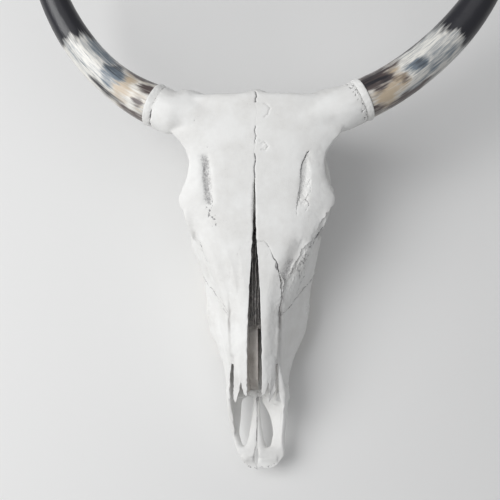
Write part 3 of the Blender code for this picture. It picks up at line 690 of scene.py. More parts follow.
@dataclass
class Plan:
    """A Geometry Nodes tree with named inputs, and what it makes of a mesh."""

    name: str
    inputs: dict[str, str]
    tree: Tree = field(init=False)
    source: bpy.types.Node = field(init=False)

    def __post_init__(self) -> None:
        """Starts the tree with its inputs."""
        self.tree = bpy.data.node_groups.new(self.name, "GeometryNodeTree")
        for key, kind in {"Geometry": "Geometry", **self.inputs, "Material": "Material"}.items():
            self.tree.interface.new_socket(key, in_out="INPUT", socket_type="NodeSocket" + kind)
        self.tree.interface.new_socket("Geometry", in_out="OUTPUT", socket_type="NodeSocketGeometry")
        self.source = self.tree.nodes.new("NodeGroupInput")

    def add(self, kind: str, settings: dict | None = None, **inputs: object) -> Output:
        """Adds a node and gives its first output that is in use."""
        made = add_node(self.tree, kind, settings, **inputs)
        return next(out for out in made.outputs if out.enabled)

    def named(self, key: str, kind: str = "FLOAT") -> Output:
        """Each point's attribute."""
        return self.add("GeometryNodeInputNamedAttribute", {"data_type": kind}, Name=key)

    def store(self, geometry: Output, key: str, value: Output) -> Output:
        """Writes a number to each point's attribute."""
        where = {"data_type": "FLOAT", "domain": "POINT"}
        return self.add("GeometryNodeStoreNamedAttribute", where, Geometry=geometry, Name=key, Value=value)

    def close(self, geometry: Output) -> None:
        """Ends the tree in plain geometry with its material.

        Args:
            geometry: what the tree makes.
        """
        plain = self.add("GeometryNodeRealizeInstances", Geometry=geometry)
        plain = self.add("GeometryNodeSetMaterial", Geometry=plain, Material=self.source.outputs["Material"])
        end = self.tree.nodes.new("NodeGroupOutput")
        self.tree.links.new(plain, end.inputs["Geometry"])

    def made(self, name: str, source: bpy.types.Mesh, values: dict[str, object]) -> bpy.types.Object:
        """Runs the tree on a mesh.

        Args:
            name: the finished object's name.
            source: the mesh that it starts from.
            values: its inputs, by name.
        Returns:
            An object with a plain mesh.
        """
        carrier = placed(name + "_plan", source)
        modifier = carrier.modifiers.new(self.name, "NODES")
        modifier.node_group = self.tree
        for item in self.tree.interface.items_tree:
            if item.in_out == "INPUT" and item.name in values:
                modifier[item.identifier] = values[item.name]
        graph = bpy.context.evaluated_depsgraph_get()
        data = bpy.data.meshes.new_from_object(carrier.evaluated_get(graph))
        bpy.data.objects.remove(carrier)
        data.name = name
        return placed(name, data)


def dressed(made: bpy.types.Object, slot: Slot, *nodes: str) -> None:
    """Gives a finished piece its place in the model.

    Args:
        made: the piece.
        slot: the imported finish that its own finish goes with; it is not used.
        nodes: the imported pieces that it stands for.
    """
    if nodes:
        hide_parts(*nodes)
    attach(made, "root")
    log.info("%s: %d triangles", made.name, sum(len(p.vertices) - 2 for p in made.data.polygons))


@dataclass(frozen=True)
class Finish:
    """A finish: its surface, and a pattern that each kind draws in its own way."""

    name: str
    roughness: float = 0.5
    ior: float = 1.5
    specular: float = 0.5
    coat: float = 0.0
    coat_roughness: float = 0.03
    relief: float = 0.5
    relief_mm: float = 0.25

    def pattern(self, tree: Tree) -> tuple[Output, Output]:
        """Adds the pattern to a tree.

        Args:
            tree: the material's tree.
        Returns:
            The colour and the height of the relief.
        """
        raise NotImplementedError

    def material(self) -> bpy.types.Material:
        """Makes the material.

        Returns:
            The finish as a material.
        """
        made = bpy.data.materials.new(self.name)
        made.use_nodes = True
        tree = made.node_tree
        shader = tree.nodes["Principled BSDF"]
        values = {
            "Roughness": self.roughness, "IOR": self.ior, "Specular IOR Level": self.specular,
            "Coat Weight": self.coat, "Coat Roughness": self.coat_roughness,
        }
        for key, value in values.items():
            shader.inputs[key].default_value = value
        colour, height = self.pattern(tree)
        tree.links.new(colour, shader.inputs["Base Color"])
        depth = self.relief_mm * MM
        bump = add_node(tree, "ShaderNodeBump", Strength=self.relief, Distance=depth, Height=height)
        tree.links.new(bump.outputs["Normal"], shader.inputs["Normal"])
        return made


@dataclass(frozen=True)
class BoneFinish(Finish):
    """Old cow bone, bleached and dried in the sun: chalk white and matt, with grain, pores and dusty cracks.

    It reads Object coordinates and the attributes "soil" and "hollow"; "hollow" mixes in dust and painted shade
    inside the nose.
    """

    roughness: float = 0.62
    specular: float = 0.3
    light: str = "F5F5F3"
    shade: str = "E8E7E4"
    soil: str = "636165"
    # The colour inside the nose: dusty bone with painted shade.
    hollow: str = "8C8886"
    cloud_mm: float = 38.4615
    crumb_mm: float = 2.38095
    grain_mm: float = 1.6
    pore_mm: float = 2.6

    def pattern(self, tree: Tree) -> tuple[Output, Output]:
        """Adds the pattern, as Finish says.

        Args:
            tree: the material's tree.
        Returns:
            The colour and the relief.
        """
        place = add_node(tree, "ShaderNodeTexCoord").outputs["Object"]
        clouds = noise(tree, place, self.cloud_mm, Detail=6.0, Roughness=0.62)
        crumbs = noise(tree, place, self.crumb_mm, Detail=4.0, Roughness=0.7)
        base = mixed(tree, ramp(tree, clouds, 0.40, 0.72), linear(self.light), linear(self.shade))
        # Pores: the dark mouths of tiny canals, gathered where the clouds are thickest.
        cells = add_node(tree, "ShaderNodeTexVoronoi", Vector=place, Scale=1000 / self.pore_mm)
        mouth = ramp(tree, cells.outputs["Distance"], 0.10, 0.17, 1.0, 0.0)
        pores = maths(tree, "MULTIPLY", mouth, ramp(tree, clouds, 0.55, 0.68))
        # Dust breaks up into crumbs, and there is none where the attribute is 0.
        soil = read(tree, "soil")
        dirt = maths(tree, "ADD", soil, maths(tree, "MULTIPLY_ADD", crumbs, 1.1, -0.55))
        some = maths(tree, "MULTIPLY", soil, 8.0, clamp=True)
        dirt = maths(tree, "MULTIPLY", ramp(tree, dirt, 0.25, 0.95), some)
        specks = maths(tree, "MULTIPLY_ADD", pores, 0.28, dirt, clamp=True)
        colour = mixed(tree, specks, base, linear(self.soil))
        # Dust and painted shade darken the inside of the nose.
        colour = mixed(tree, read(tree, "hollow"), colour, linear(self.hollow))
        height = maths(tree, "MULTIPLY_ADD", crumbs, 0.6, noise(tree, place, self.grain_mm, Detail=3.0))
        return colour, maths(tree, "MULTIPLY_ADD", pores, -1.2, height)


class Tone(Enum):
    """The colours that run through a horn, in the order in which they cover each other."""

    WHITE = "F4F2EB"
    TAN = "C8B79F"
    SLATE = "74808B"
    BROWN = "5A4F4D"
    BLACK = "25252B"


@dataclass(frozen=True)
class HornFinish(Finish):
    """Horn, scraped and polished: layered streaks of cream, tan, slate and black under a soft gloss.

    It reads "streak", a place on the unrolled horn, and one attribute for each tone.
    """

    name: str = "polished_cow_horn"
    roughness: float = 0.34
    ior: float = 1.54
    coat: float = 0.15
    coat_roughness: float = 0.12
    relief: float = 0.25
    relief_mm: float = 0.15
    ground: str = "EAE7E0"
    line: str = "B4B6B6"
    streak_mm: float = 1.5

    def pattern(self, tree: Tree) -> tuple[Output, Output]:
        """Adds the pattern, as Finish says.

        Args:
            tree: the material's tree.
        Returns:
            The colour and the relief.
        """
        place = add_node(tree, "ShaderNodeAttribute", {"attribute_name": "streak"}).outputs["Vector"]
        fine = noise(tree, place, self.streak_mm, seed=0.0, Detail=3.0, Roughness=0.6)
        colour = mixed(tree, ramp(tree, fine, 0.42, 0.85), linear(self.ground), linear(self.line))
        for number, tone in enumerate(Tone, 1):
            mask = total = read(tree, tone.name.lower())
            for size, share in ((1.3 + 0.3 * (number % 3), 2.3), (5.5, 1.5)):
                ragged = noise(
                    tree, place, self.streak_mm * size, seed=3.0 * number + size, Detail=5.0, Roughness=0.6,
                    Distortion=0.2,
                )
                ragged = maths(tree, "MULTIPLY_ADD", ragged, share, -0.5 * share)
                total = maths(tree, "ADD", total, ragged)
            some = maths(tree, "MULTIPLY", mask, 4.0, clamp=True)
            cover = maths(tree, "MULTIPLY", ramp(tree, total, 0.15, 0.95), some)
            colour = mixed(tree, cover, colour, linear(tone.value))
        return colour, fine


@dataclass(frozen=True)
class ToothFinish(Finish):
    """A cow's cheek tooth: pale hard enamel, duller and browner dentine where it is worn, stained hollows.

    It reads Object coordinates and the attributes "dentine" and "stain".
    """

    name: str = "worn_tooth_enamel"
    roughness: float = 0.35
    ior: float = 1.62
    relief: float = 0.3
    relief_mm: float = 0.2
    enamel: str = "E9E3D5"
    dentine: str = "C4AE8A"
    stain: str = "5B4A3A"
    line_mm: float = 2.0

    def pattern(self, tree: Tree) -> tuple[Output, Output]:
        """Adds the pattern, as Finish says.

        Args:
            tree: the material's tree.
        Returns:
            The colour and the relief.
        """
        place = add_node(tree, "ShaderNodeTexCoord").outputs["Object"]
        # Stain runs up and down the crown, so the pattern is stretched six times in height.
        tall = add_node(tree, "ShaderNodeMapping", Vector=place, Scale=(1.0, 1.0, 1 / 6)).outputs["Vector"]
        lines = noise(tree, tall, self.line_mm, Detail=4.0)
        crown = mixed(tree, ramp(tree, lines, 0.5, 0.8, high=0.45), linear(self.enamel), linear(self.dentine))
        worn = mixed(tree, read(tree, "dentine"), crown, linear(self.dentine))
        return mixed(tree, read(tree, "stain"), worn, linear(self.stain)), lines


@dataclass
class Mark:
    """A trace on the bone along a line of face places, or at a single one. Sizes are in mm."""

    places: Points
    width: float
    depth: float
    soil: float = 0.0
    wander: float = 0.6
    fades: bool = True
    fine_mm: float = 0.9

    def reach(self) -> float:
        """How far from its line the mark works."""
        return 3 * self.width + 2 * self.wander + 1

    def settled(self, skin: BVHTree) -> "Mark":
        """The same mark with its line laid on a bone's skin."""
        return replace(self, places=Route(self.places).laid(skin).places)

    def mirrored(self) -> "Mark":
        """The same mark on the other side of the skull."""
        return replace(self, places=[(-across, back, up) for across, back, up in self.places])

    def touched(self, places: np.ndarray, margin: float) -> np.ndarray:
        """The numbers of the places in the box round the line, grown by a margin."""
        line = np.array(self.places, float)
        return np.flatnonzero(((places > line.min(0) - margin) & (places < line.max(0) + margin)).all(1))

    def ends(self, along: np.ndarray) -> np.ndarray:
        """How strong the mark is along its line."""
        even = not self.fades or len(self.places) == 1
        return np.ones(len(along)) if even else eased(along, 0, 0.12) * eased(along, 1, 0.88)

    def carve(self, places: np.ndarray) -> tuple[np.ndarray, np.ndarray]:
        """What the mark does to the bone.

        Args:
            places: face places in mm.
        Returns:
            How deep it cuts and how much soil it holds, for each place.
        """
        raise NotImplementedError


@dataclass
class Stroke(Mark):
    """A rounded furrow, crack or hole, or a ridge or knob where its depth is below 0."""

    def carve(self, places: np.ndarray) -> tuple[np.ndarray, np.ndarray]:
        """Works the bone, as Mark says.

        Args:
            places: face places in mm.
        Returns:
            The depth and the soil of each.
        """
        near, along, _ = Route(self.places).measure(places + self.wander * drift(places, 4, 5))
        cut = np.exp(-((near / self.width) ** 2)) * self.ends(along)
        return self.depth * cut, self.soil * cut


@dataclass
class Flake(Mark):
    """A broken edge: the bone on one side of its line has lost its outer layer, over its width."""

    side: int = 1
    rough: float = 0.0
    slope: float = 0.0

    def reach(self) -> float:
        """See Mark."""
        return self.width + 3

    def mirrored(self) -> "Flake":
        """See Mark."""
        return replace(super().mirrored(), side=-self.side)

    def carve(self, places: np.ndarray) -> tuple[np.ndarray, np.ndarray]:
        """Works the bone, as Mark says.

        Args:
            places: face places in mm.
        Returns:
            The depth and the soil of each.
        """
        bent = places + self.wander * (drift(places, 5, 8) + 0.6 * drift(places, 2.2, 12))
        near, along, turn = Route(self.places).measure(bent)
        off = near * turn * self.side
        edge = eased(off, -0.25, 0.35)
        level = eased(off, self.width, 0.2 * self.width)
        level += self.slope * (np.clip(1 - off / self.width, 0, 1) - level)
        lost = edge * level * self.ends(along)
        pits = np.clip(grain(places, 2.6, 15) + 0.5 * grain(places, 1.3, 16), 0, 1)
        line = np.exp(-(((off - 0.2) / 0.55) ** 2)) * self.ends(along)
        return lost * (self.depth + self.rough * pits), self.soil * np.maximum(lost * 0.55 * pits, line)


@dataclass
class Pits(Mark):
    """A patch of open, pitted or stained bone round its line, over its width."""

    size: float = 2.2
    cover: float = 0.0

    def reach(self) -> float:
        """See Mark."""
        return 1.3 * self.width + 2

    def carve(self, places: np.ndarray) -> tuple[np.ndarray, np.ndarray]:
        """Works the bone, as Mark says.

        Args:
            places: face places in mm.
        Returns:
            The depth and the soil of each.
        """
        near, along, _ = Route(self.places).measure(places + self.wander * drift(places, 5, 18))
        inside = eased(near, 1.25 * self.width, 0.6 * self.width) * self.ends(along)
        pits = grain(places, self.size, 21) + 0.6 * grain(places, 0.45 * self.size, 22) + self.cover
        pits = inside * eased(pits, 0.0, 0.7)
        return self.depth * pits, self.soil * pits


@dataclass
class Bone:
    """One bone, or one set of bones that have grown together."""

    node: str
    marks: Sequence[Mark] = ()
    healed: Sequence[Route] = ()
    slot: Slot = Slot.BONE
    plain_mm: float = 3.0
    hidden_mm: float = 6.5
    seam_mm: float = 0.8
    cut: float | None = None
    ragged: float = 0.0
    torn: float = 0.0
    smooth: int = 6
    spike: Points = ()

    def seams(self, skin: Skin, others: BVHTree) -> tuple[np.ndarray, np.ndarray]:
        """Finds where the bone meets others.

        Args:
            skin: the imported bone.
            others: every other packed bone.
        Returns:
            Each point's distance to another bone in mm, and whether each face lies in a seam.
        """
        gap = np.array([others.find_nearest(Vector(p))[3] or 1.0 for p in skin.points]) / MM
        inside = np.zeros(len(skin.faces), bool)
        for i, (middle, normal) in enumerate(zip(skin.points[skin.faces].mean(1), skin.facing())):
            place, _, _, away = others.find_nearest(Vector(middle))
            if away is not None and away < SEAM_GAP:
                inside[i] = np.dot(np.array(place) - middle, normal) > 0.7 * away
        return gap, inside

    def skin(self, node: bpy.types.Object, others: BVHTree) -> Skin:
        """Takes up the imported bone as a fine, rounded skin with crisp seams.

        Args:
            node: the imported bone.
            others: every other packed bone.
        Returns:
            The skin, with "seam", the distance to another bone, and "wall", which is 1 inside a seam.
        """
        rough = Skin.of_node(node, self.cut)
        gap, inside = self.seams(rough, others)
        facing = rough.facing()
        order = np.argsort(rough.edges()[1].reshape(-1), kind="stable")
        first, second = order[0::2] // 3, order[1::2] // 3
        creases = (inside[first] != inside[second]) | ((facing[first] * facing[second]).sum(1) < SHARP_COSINE)
        # Rounding draws the skin in, so the corners are moved out until the rounded skin runs through them.
        target = rough.points.copy()
        for _ in range(2):
            finer, sharp = rough.divided(creases)
            finer, sharp = finer.divided(sharp)
            rough.points += 0.7 * (target - finer.points[: len(target)])
        rough.fields["seam"] = gap
        finer, sharp = rough.divided(creases)
        finer = finer.divided(sharp)[0]
        finer.fields["wall"] = np.ones(len(finer.points))
        finer.fields["wall"][finer.faces[~np.tile(inside, 16)].ravel()] = 0
        return finer

    def wanted(self, skin: Skin, marks: Sequence[Mark]) -> np.ndarray:
        """How long edges may be: short at marks, and at seams in sight.

        Args:
            skin: the bone.
            marks: its marks, on its skin.
        Returns:
            The length wanted at each point, in metres.
        """
        places = FACE.face(skin.points)
        brow = np.array([0, -0.28, 0.96])
        seen = eased(skin.normals() @ brow, -0.2, 0.3) * (1 - self.hollow(places))
        plain = self.hidden_mm + (self.plain_mm - self.hidden_mm) * seen
        near = np.where(skin.fields["wall"] > 0.6, 9.0, skin.fields["seam"])
        fine = self.seam_mm * (2.2 - 1.2 * seen)
        size = fine + (plain - fine) * eased(near, 0.8, 2.5)
        for mark in marks:
            some = mark.touched(places, mark.reach())
            if isinstance(mark, Flake):
                near, _, turn = Route(mark.places).measure(places[some])
                beside = np.where(turn == mark.side, 2.3 * mark.fine_mm, 9.0)
                worked = np.where(near < 2.2, mark.fine_mm, beside)
            else:
                near = Route(mark.places).measure(places[some])[0]
                worked = mark.fine_mm + np.maximum(near - 1.4 * mark.width - mark.wander, 0)
            size[some] = np.minimum(size[some], worked)
        return size * MM

    def build(self, node: bpy.types.Object, others: BVHTree, finish: bpy.types.Material) -> None:
        """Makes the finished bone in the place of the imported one.

        Args:
            node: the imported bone.
            others: every other packed bone.
            finish: its material.
        """
        skin = self.skin(node, others)
        ground = BVHTree.FromPolygons(FACE.face(skin.points).tolist(), skin.faces.tolist())
        marks = [mark.settled(ground) for mark in self.marks]
        skin = skin.refined(lambda s: self.wanted(s, marks))
        seam, wall = skin.fields.pop("seam"), skin.fields.pop("wall")
        skin.relaxed(self.smooth, eased(seam, 0.8, 3.0))
        seam = self.heal(skin, seam, others, [route.laid(ground) for route in self.healed])
        places = self.wavered(FACE.face(skin.points), seam, skin.points[:, 2] / MM)
        skin.points = FACE.row(places)
        normals = skin.normals()
        depth, soil = np.zeros(len(places)), np.zeros(len(places))
        for mark in marks:
            some = mark.touched(places, mark.reach())
            cut, dust = mark.carve(places[some])
            depth[some] += cut
            soil[some] = np.maximum(soil[some], dust)
        open_seam = eased(grain(places, 11, 44), -0.6, 0.5)
        depth += (0.25 + 0.45 * open_seam) * np.exp(-((seam / 0.9) ** 2)) * (1 - wall)
        depth += 0.10 * grain(places, 5, 40) + 0.05 * grain(places, 2, 41)
        depth += self.ragged * grain(places, 3, 42)
        skin.points -= normals * (depth * MM)[:, None]
        skin.points[:, 2] = np.maximum(skin.points[:, 2], 0)
        seam_dust = (0.35 + 0.5 * open_seam) * np.exp(-((seam / 0.8) ** 2))
        skin.fields["soil"] = np.clip(np.maximum(soil, seam_dust), 0, 1)
        skin.fields["hollow"] = self.hollow(places)
        if self.spike:
            skin = skin.joined(self.spike_rings())
        made = placed("dressed_" + self.node, skin.mesh(self.node + "_skin"), finish)
        dressed(made, self.slot, self.node)

    def wavered(self, places: np.ndarray, seam: np.ndarray, height: np.ndarray) -> np.ndarray:
        """Makes the bone's edges run unevenly, as grown and broken ones do, most so beside its seams.

        Args:
            places: face places in mm.
            seam: each one's distance to another bone in mm.
            height: each one's height over the floor in mm; the bone keeps its place where it rests.
        Returns:
            The places, moved along the face.
        """
        across, back, up = places.T
        wave = eased(height, 22, 40) * eased(np.abs(across), 112, 100)
        wave *= 0.3 + 0.7 * eased(back, 402, 388)
        tips = eased(back, 364, 374) * eased(back, 410, 400) * eased(up, -34, -26)
        close = np.exp(-((seam / 5) ** 2))
        shift = 0.5 * drift(places, 9, 30) + (0.4 + 0.5 * close)[:, None] * drift(places, 3.4, 34)
        shift += (0.4 * close)[:, None] * drift(places, 1.7, 38)
        shift += (self.torn * tips)[:, None] * drift(places, 2.8, 39)
        moved = places.copy()
        moved[:, :2] += wave[:, None] * shift[:, :2]
        return moved

    def spike_rings(self) -> np.ndarray:
        """Fills in the spike's ribs, each (back, across of each edge, top, height).

        Returns:
            Rings of places in metres.
        """
        back, inner, outer, top, high = (column[:, None] for column in columns_at(self.spike, 0.8))
        turn = np.linspace(0, 2 * math.pi, 48, endpoint=False)
        wide, tall = (np.sign(f(turn)) * np.abs(f(turn)) ** 0.6 for f in (np.cos, np.sin))
        across = 0.5 * (inner + outer) + 0.5 * (outer - inner) * wide
        up = top - 0.5 * high + 0.5 * high * tall - 0.8 * eased(across, inner + 3, outer)
        places = np.stack([across, np.broadcast_to(back, up.shape), up], -1)
        flat = places.reshape(-1, 3)
        rough = 0.25 * drift(flat, 4, 71) + 0.12 * drift(flat, 1.6, 74)
        return FACE.row(flat + rough).reshape(places.shape)

    @staticmethod
    def heal(skin: Skin, seam: np.ndarray, others: BVHTree, routes: Sequence[Route]) -> np.ndarray:
        """Closes the seams that have grown together.

        Args:
            skin: the bone; its points move half-way to the next bone.
            seam: each point's distance to another bone in mm.
            others: every other packed bone.
            routes: the seams that have closed, on the bone's skin.
        Returns:
            The distances, which are large where the seam has gone.
        """
        places = FACE.face(skin.points)
        seam = seam.copy()
        for route in routes:
            share = eased(route.measure(places)[0], 8, 5)
            for i in np.flatnonzero((share > 0) & (seam < 0.7)):
                near = others.find_nearest(Vector(skin.points[i]), 0.002)[0]
                if near is not None:
                    skin.points[i] += 0.52 * share[i] * (np.array(near) - skin.points[i])
            seam = seam + 9 * share
        return seam

    @staticmethod
    def hollow(places: np.ndarray) -> np.ndarray:
        """How far places lie in the nose, where the bone is dusty and darkened with painted shade.

        Args:
            places: face places in mm.
        Returns:
            A share from 0 to 1 for each.
        """
        across, back, up = places.T
        up = up + fallen(places)
        inside = eased(np.abs(across + 2), 36, 31) * eased(back, 150, 165) * eased(up, -5.0, -8.5)
        return inside * eased(up - FACE.floor(back), 30, 38) * profile(NOSE_DUST_AND_SHADE)(back)


@dataclass(frozen=True)
class Patch:
    """A patch of one tone on a horn, in mm from its root and from -1 at the outer edge to 1 at the inner."""

    tone: Tone
    along: float
    lie: float
    long: float
    wide: float
    strength: float = 1.0


@dataclass
class Horn:
    """A horn, and the collar of rough bone at its foot.

    Its tables go by the distance along it, but for dust, the collar's, which goes by degrees round it. Rise
    is the angle of its line to that of the poll, and lift the angle over the brow.
    """

    side: Side
    root: tuple[float, float, float]
    radius: dict[float, float]
    rise: dict[float, float]
    lift: dict[float, float]
    black: tuple[float, float]
    patches: Sequence[Patch]
    dust: dict[float, float]
    length: float = 406.0
    step: float = 2.0
    collar_length: float = 11.0

    def heading(self, along: np.ndarray) -> np.ndarray:
        """The horn's direction.

        Args:
            along: distances from its root.
        Returns:
            Rows of (across, back, up), each of length 1.
        """
        rise, lift = (np.radians(profile(table)(along)) for table in (self.rise, self.lift))
        level = np.cos(lift)
        return np.stack([self.side.value * np.cos(rise) * level, -np.sin(rise) * level, np.sin(lift)], -1)

    def path(self) -> tuple[np.ndarray, np.ndarray, np.ndarray]:
        """The horn's line.

        Returns:
            Distances from the root, the horn's middle at each in face places, and its radius there.
        """
        along = np.arange(0, self.length + self.step, self.step)
        middle = along[:-1] + self.step / 2
        line = np.concatenate([[self.root], self.root + np.cumsum(self.heading(middle) * self.step, axis=0)])
        # The last 7 mm are rounded off.
        end = 1 - np.clip((self.length - along) / 7, 0, 1)
        radius = profile(self.radius)(along) * np.sqrt(np.clip(1 - end**2, 0.0004, 1))
        return along, line, radius

    def foot(self) -> tuple[Vector, Vector, Vector]:
        """The axes of the horn's root.

        Returns:
            The horn's direction, that of 0 degrees, off the brow, and that of 90 degrees, inwards.
        """
        ahead = Vector(self.heading(np.array(0.0)))
        over = (Vector((0, 0, 1)) - ahead * ahead.z).normalized()
        inner = Vector((0, -1, 0)) - ahead * -ahead.y
        return ahead, over, (inner - over * inner.dot(over)).normalized()

    def ring(self, offset: float, radius: float, start: float = 0, end: float = 360) -> Points:
        """An arc round the horn's root.

        Args:
            offset: how far beyond the root it lies.
            radius: its radius.
            start: where it starts, in degrees as foot() counts them.
            end: where it ends.
        Returns:
            Face places 12 degrees apart.
        """
        ahead, over, inner = self.foot()
        middle = Vector(self.root) + ahead * offset
        turns = np.radians(np.arange(start, end + 1, 12))
        return [tuple(middle + radius * (math.cos(a) * over + math.sin(a) * inner)) for a in turns]

    def build_sheath(self, plan: Plan, finish: bpy.types.Material) -> None:
        """Makes the horn itself.

        Args:
            plan: the tree that sweeps it along its line.
            finish: its material.
        """
        along, line, radius = self.path()
        data = bpy.data.meshes.new("horn_line")
        data.from_pydata(FACE.row(line).tolist(), [(i, i + 1) for i in range(len(line) - 1)], [])
        write(data, "radius", radius * MM)
        values = {
            "Sides": 192, "Step": 0.0011, "Ring Depth": 0.0005, "Streak Depth": 0.00035,
            "Seed": self.side.value, "Material": finish,
        }
        made = plan.made("dressed_horn_" + self.side.word, data, values)
        points = np.zeros(3 * len(made.data.vertices))
        made.data.vertices.foreach_get("co", points)
        at, turn = taken(made.data, "along") / MM, 2 * math.pi * taken(made.data, "around")
        middle = np.stack([np.interp(at, along, line[:, k]) for k in range(3)], 1)
        heading = self.heading(at)
        inner = np.stack([self.side.value * heading[:, 1], -np.abs(heading[:, 0]), 0 * at], 1)
        inner /= np.linalg.norm(inner, axis=1, keepdims=True)
        off = FACE.face(points.reshape(-1, 3)) - middle
        lie = (off * inner).sum(1) / np.maximum(np.linalg.norm(off, axis=1), 1e-6)
        for key, share in self.tones(at, lie, (off[:, 2] < 0) * 1.0).items():
            write(made.data, key, share)
        # Streaks are drawn out along the horn, so its length counts for less than the way round it.
        unrolled = np.stack([24 * np.cos(turn), 24 * np.sin(turn), 0.085 * at], 1)
        unrolled[:, 2] += 0.5 * grain(np.stack([off[:, 0], off[:, 1], at * 0.3], 1), 14, 3)
        write(made.data, "streak", unrolled * MM)
        made.data.shade_smooth()
        dressed(made, Slot.HORN, "horn_" + self.side.word)

    def tones(self, at: np.ndarray, lie: np.ndarray, under: np.ndarray) -> dict[str, np.ndarray]:
        """How much of each tone there is.

        Args:
            at: distances from the root.
            lie: from -1 at the horn's outer edge to 1 at its inner edge.
            under: 1 on the side towards the floor.
        Returns:
            Values from 0 up for each tone's attribute.
        """
        found = {tone: np.zeros(len(at)) for tone in Tone}
        bend = drift(np.stack([0.5 * at, 22 * lie, 30 * under], 1), 7, 70)
        bend += 0.6 * drift(np.stack([0.25 * at, 22 * lie, 30 * under], 1), 2.5, 73)
        found[Tone.SLATE] += 0.30 * eased(at, 50, 64)
        found[Tone.TAN] += 0.25 * eased(at, 60, 45)
        found[Tone.BROWN] += 0.16 * eased(at, 34, 10)
        for patch in self.patches:
            off = (at + 0.28 * patch.long * bend[:, 0] - patch.along - 9 * under) / patch.long
            side = (lie + 0.4 * patch.wide * bend[:, 1] - patch.lie - 0.15 * under) / patch.wide
            amount = patch.strength * eased(np.hypot(off, side), 1.5, 0.3)
            found[patch.tone] = np.maximum(found[patch.tone], amount)
        tip = eased(at + 9 * bend[:, 0] + 8 * lie, *self.black)
        found[Tone.BLACK] = np.maximum(found[Tone.BLACK], 1.4 * tip)
        return {tone.name.lower(): values for tone, values in found.items()}

    def build_collar(self, finish: bpy.types.Material) -> None:
        """Makes the ring of bone at the horn's foot.

        Args:
            finish: its material.
        """
        # The collar's section, from its middle to its rim and back, as (radius, height).
        shape = np.array([
            (0, 0.5), (20, 0.5), (25.2, 0.6), (26.6, 1.0), (27.5, 2.2), (28.1, 4), (28.5, 6), (28.8, 8),
            (28.7, 9.3), (28.0, 10.2), (26.8, 10.6), (25.5, 10.6), (0, 10.6),
        ])
        lengths = np.concatenate([[0], np.cumsum(np.linalg.norm(np.diff(shape, axis=0), axis=1))])
        end = lengths[-1]
        stops = np.concatenate([[0.02, 8, 16], np.arange(22, end - 24, 0.5), [end - 16, end - 0.02]])
        radius, height = (np.interp(stops, lengths, shape[:, k]) for k in (0, 1))
        sides = 300
        turn = 2 * math.pi * np.arange(sides) / sides
        ahead, over, inner = (np.array(v) for v in self.foot())
        spokes = np.cos(turn)[:, None] * over + np.sin(turn)[:, None] * inner
        centre = np.array(self.root) - ahead * self.collar_length
        places = centre + radius[:, None, None] * spokes + height[:, None, None] * ahead
        rim = eased(radius, 20, 26)[:, None] * np.ones(sides)
        low = eased(height, 3.4, 0.9)[:, None] * rim
        flat = places.reshape(-1, 3)
        ragged = (0.8 * grain(flat, 7, 50) + 0.7 * grain(flat, 2.6, 51) - 0.8).reshape(low.shape)
        places = places + (low * ragged)[..., None] * ahead
        swell = 0.45 * grain(flat, 9, 52) + 0.3 * grain(flat, 3, 53) + 0.12 * grain(flat, 1.2, 54)
        pits = low * np.clip(grain(flat, 2.0, 55), 0, 1).reshape(low.shape)
        places = places + (rim * swell.reshape(low.shape) - 1.1 * pits)[..., None] * spokes
        dust = profile(self.dust)((np.degrees(turn) + 180) % 360 - 180)
        soil = dust * low * eased(pits + 0.3 * ragged, 0.05, 0.5)
        soil = np.concatenate([soil.ravel(), [0, 0]])
        faces = tube_faces(*low.shape)
        skin = Skin(FACE.row(tube_points(places)), faces, {"soil": soil, "hollow": 0 * soil})
        made = placed("dressed_horn_collar_" + self.side.word, skin.mesh("collar_skin"), finish)
        outwards(made.data)
        dressed(made, Slot.BONE, "horn_collar_" + self.side.word)


def sheath_plan() -> Plan:
    """The tree that sweeps a horn along its line, with growth rings and fine streaks.

    Returns:
        The tree; its mesh carries "along", in metres from the root, and "around", from 0 to 1.
    """
    lengths = ("Step", "Ring Depth", "Streak Depth", "Seed")
    plan = Plan("horn_sheath", {"Sides": "Int", **{key: "Float" for key in lengths}})
    tree, source = plan.tree, plan.source.outputs
    curve = plan.add("GeometryNodeMeshToCurve", Mesh=source["Geometry"])
    curve = plan.add("GeometryNodeSetCurveRadius", Curve=curve, Radius=plan.named("radius"))
    curve = plan.add("GeometryNodeResampleCurve", {"mode": "LENGTH"}, Curve=curve, Length=source["Step"])
    spline = add_node(tree, "GeometryNodeSplineParameter")
    curve = plan.store(curve, "along", spline.outputs["Length"])
    circle = plan.add("GeometryNodeCurvePrimitiveCircle", Resolution=source["Sides"], Radius=1.0)
    circle = plan.store(circle, "around", spline.outputs["Factor"])
    width = plan.add("GeometryNodeInputRadius")
    skin = plan.add("GeometryNodeCurveToMesh", Curve=curve, Profile_Curve=circle, Scale=width, Fill_Caps=True)
    along = plan.named("along")
    turn = maths(tree, "MULTIPLY", plan.named("around"), 2 * math.pi)
    cosine, sine = maths(tree, "COSINE", turn), maths(tree, "SINE", turn)
    depths = []
    # Streaks run along the horn, so their noise is drawn out; that of the rings is pressed together.
    for key, stretch, scale, detail in (("Streak Depth", 6.0, 9.0, 3.0), ("Ring Depth", 90.0, 1.1, 2.0)):
        place = plan.add("ShaderNodeCombineXYZ", X=cosine, Y=sine, Z=maths(tree, "MULTIPLY", along, stretch))
        waves = plan.add(
            "ShaderNodeTexNoise", {"noise_dimensions": "4D"}, Vector=place, W=source["Seed"], Scale=scale,
            Detail=detail,
        )
        depths.append(maths(tree, "MULTIPLY", maths(tree, "SUBTRACT", waves, 0.5), source[key]))
    streaks, rings = depths
    # The rings are stronger near the root, and both fade where the horn is thin.
    rings = maths(tree, "MULTIPLY", rings, ramp(tree, along, 0.0, 0.25, 1.6, 0.4))
    total = maths(tree, "ADD", rings, streaks)
    total = maths(tree, "MULTIPLY", total, ramp(tree, along, 0.33, 0.40, 1.0, 0.1))
    normal = plan.add("GeometryNodeInputNormal")
    offset = plan.add("ShaderNodeVectorMath", {"operation": "SCALE"}, i0=normal, Scale=total)
    plan.close(plan.add("GeometryNodeSetPosition", Geometry=skin, Offset=offset))
    return plan


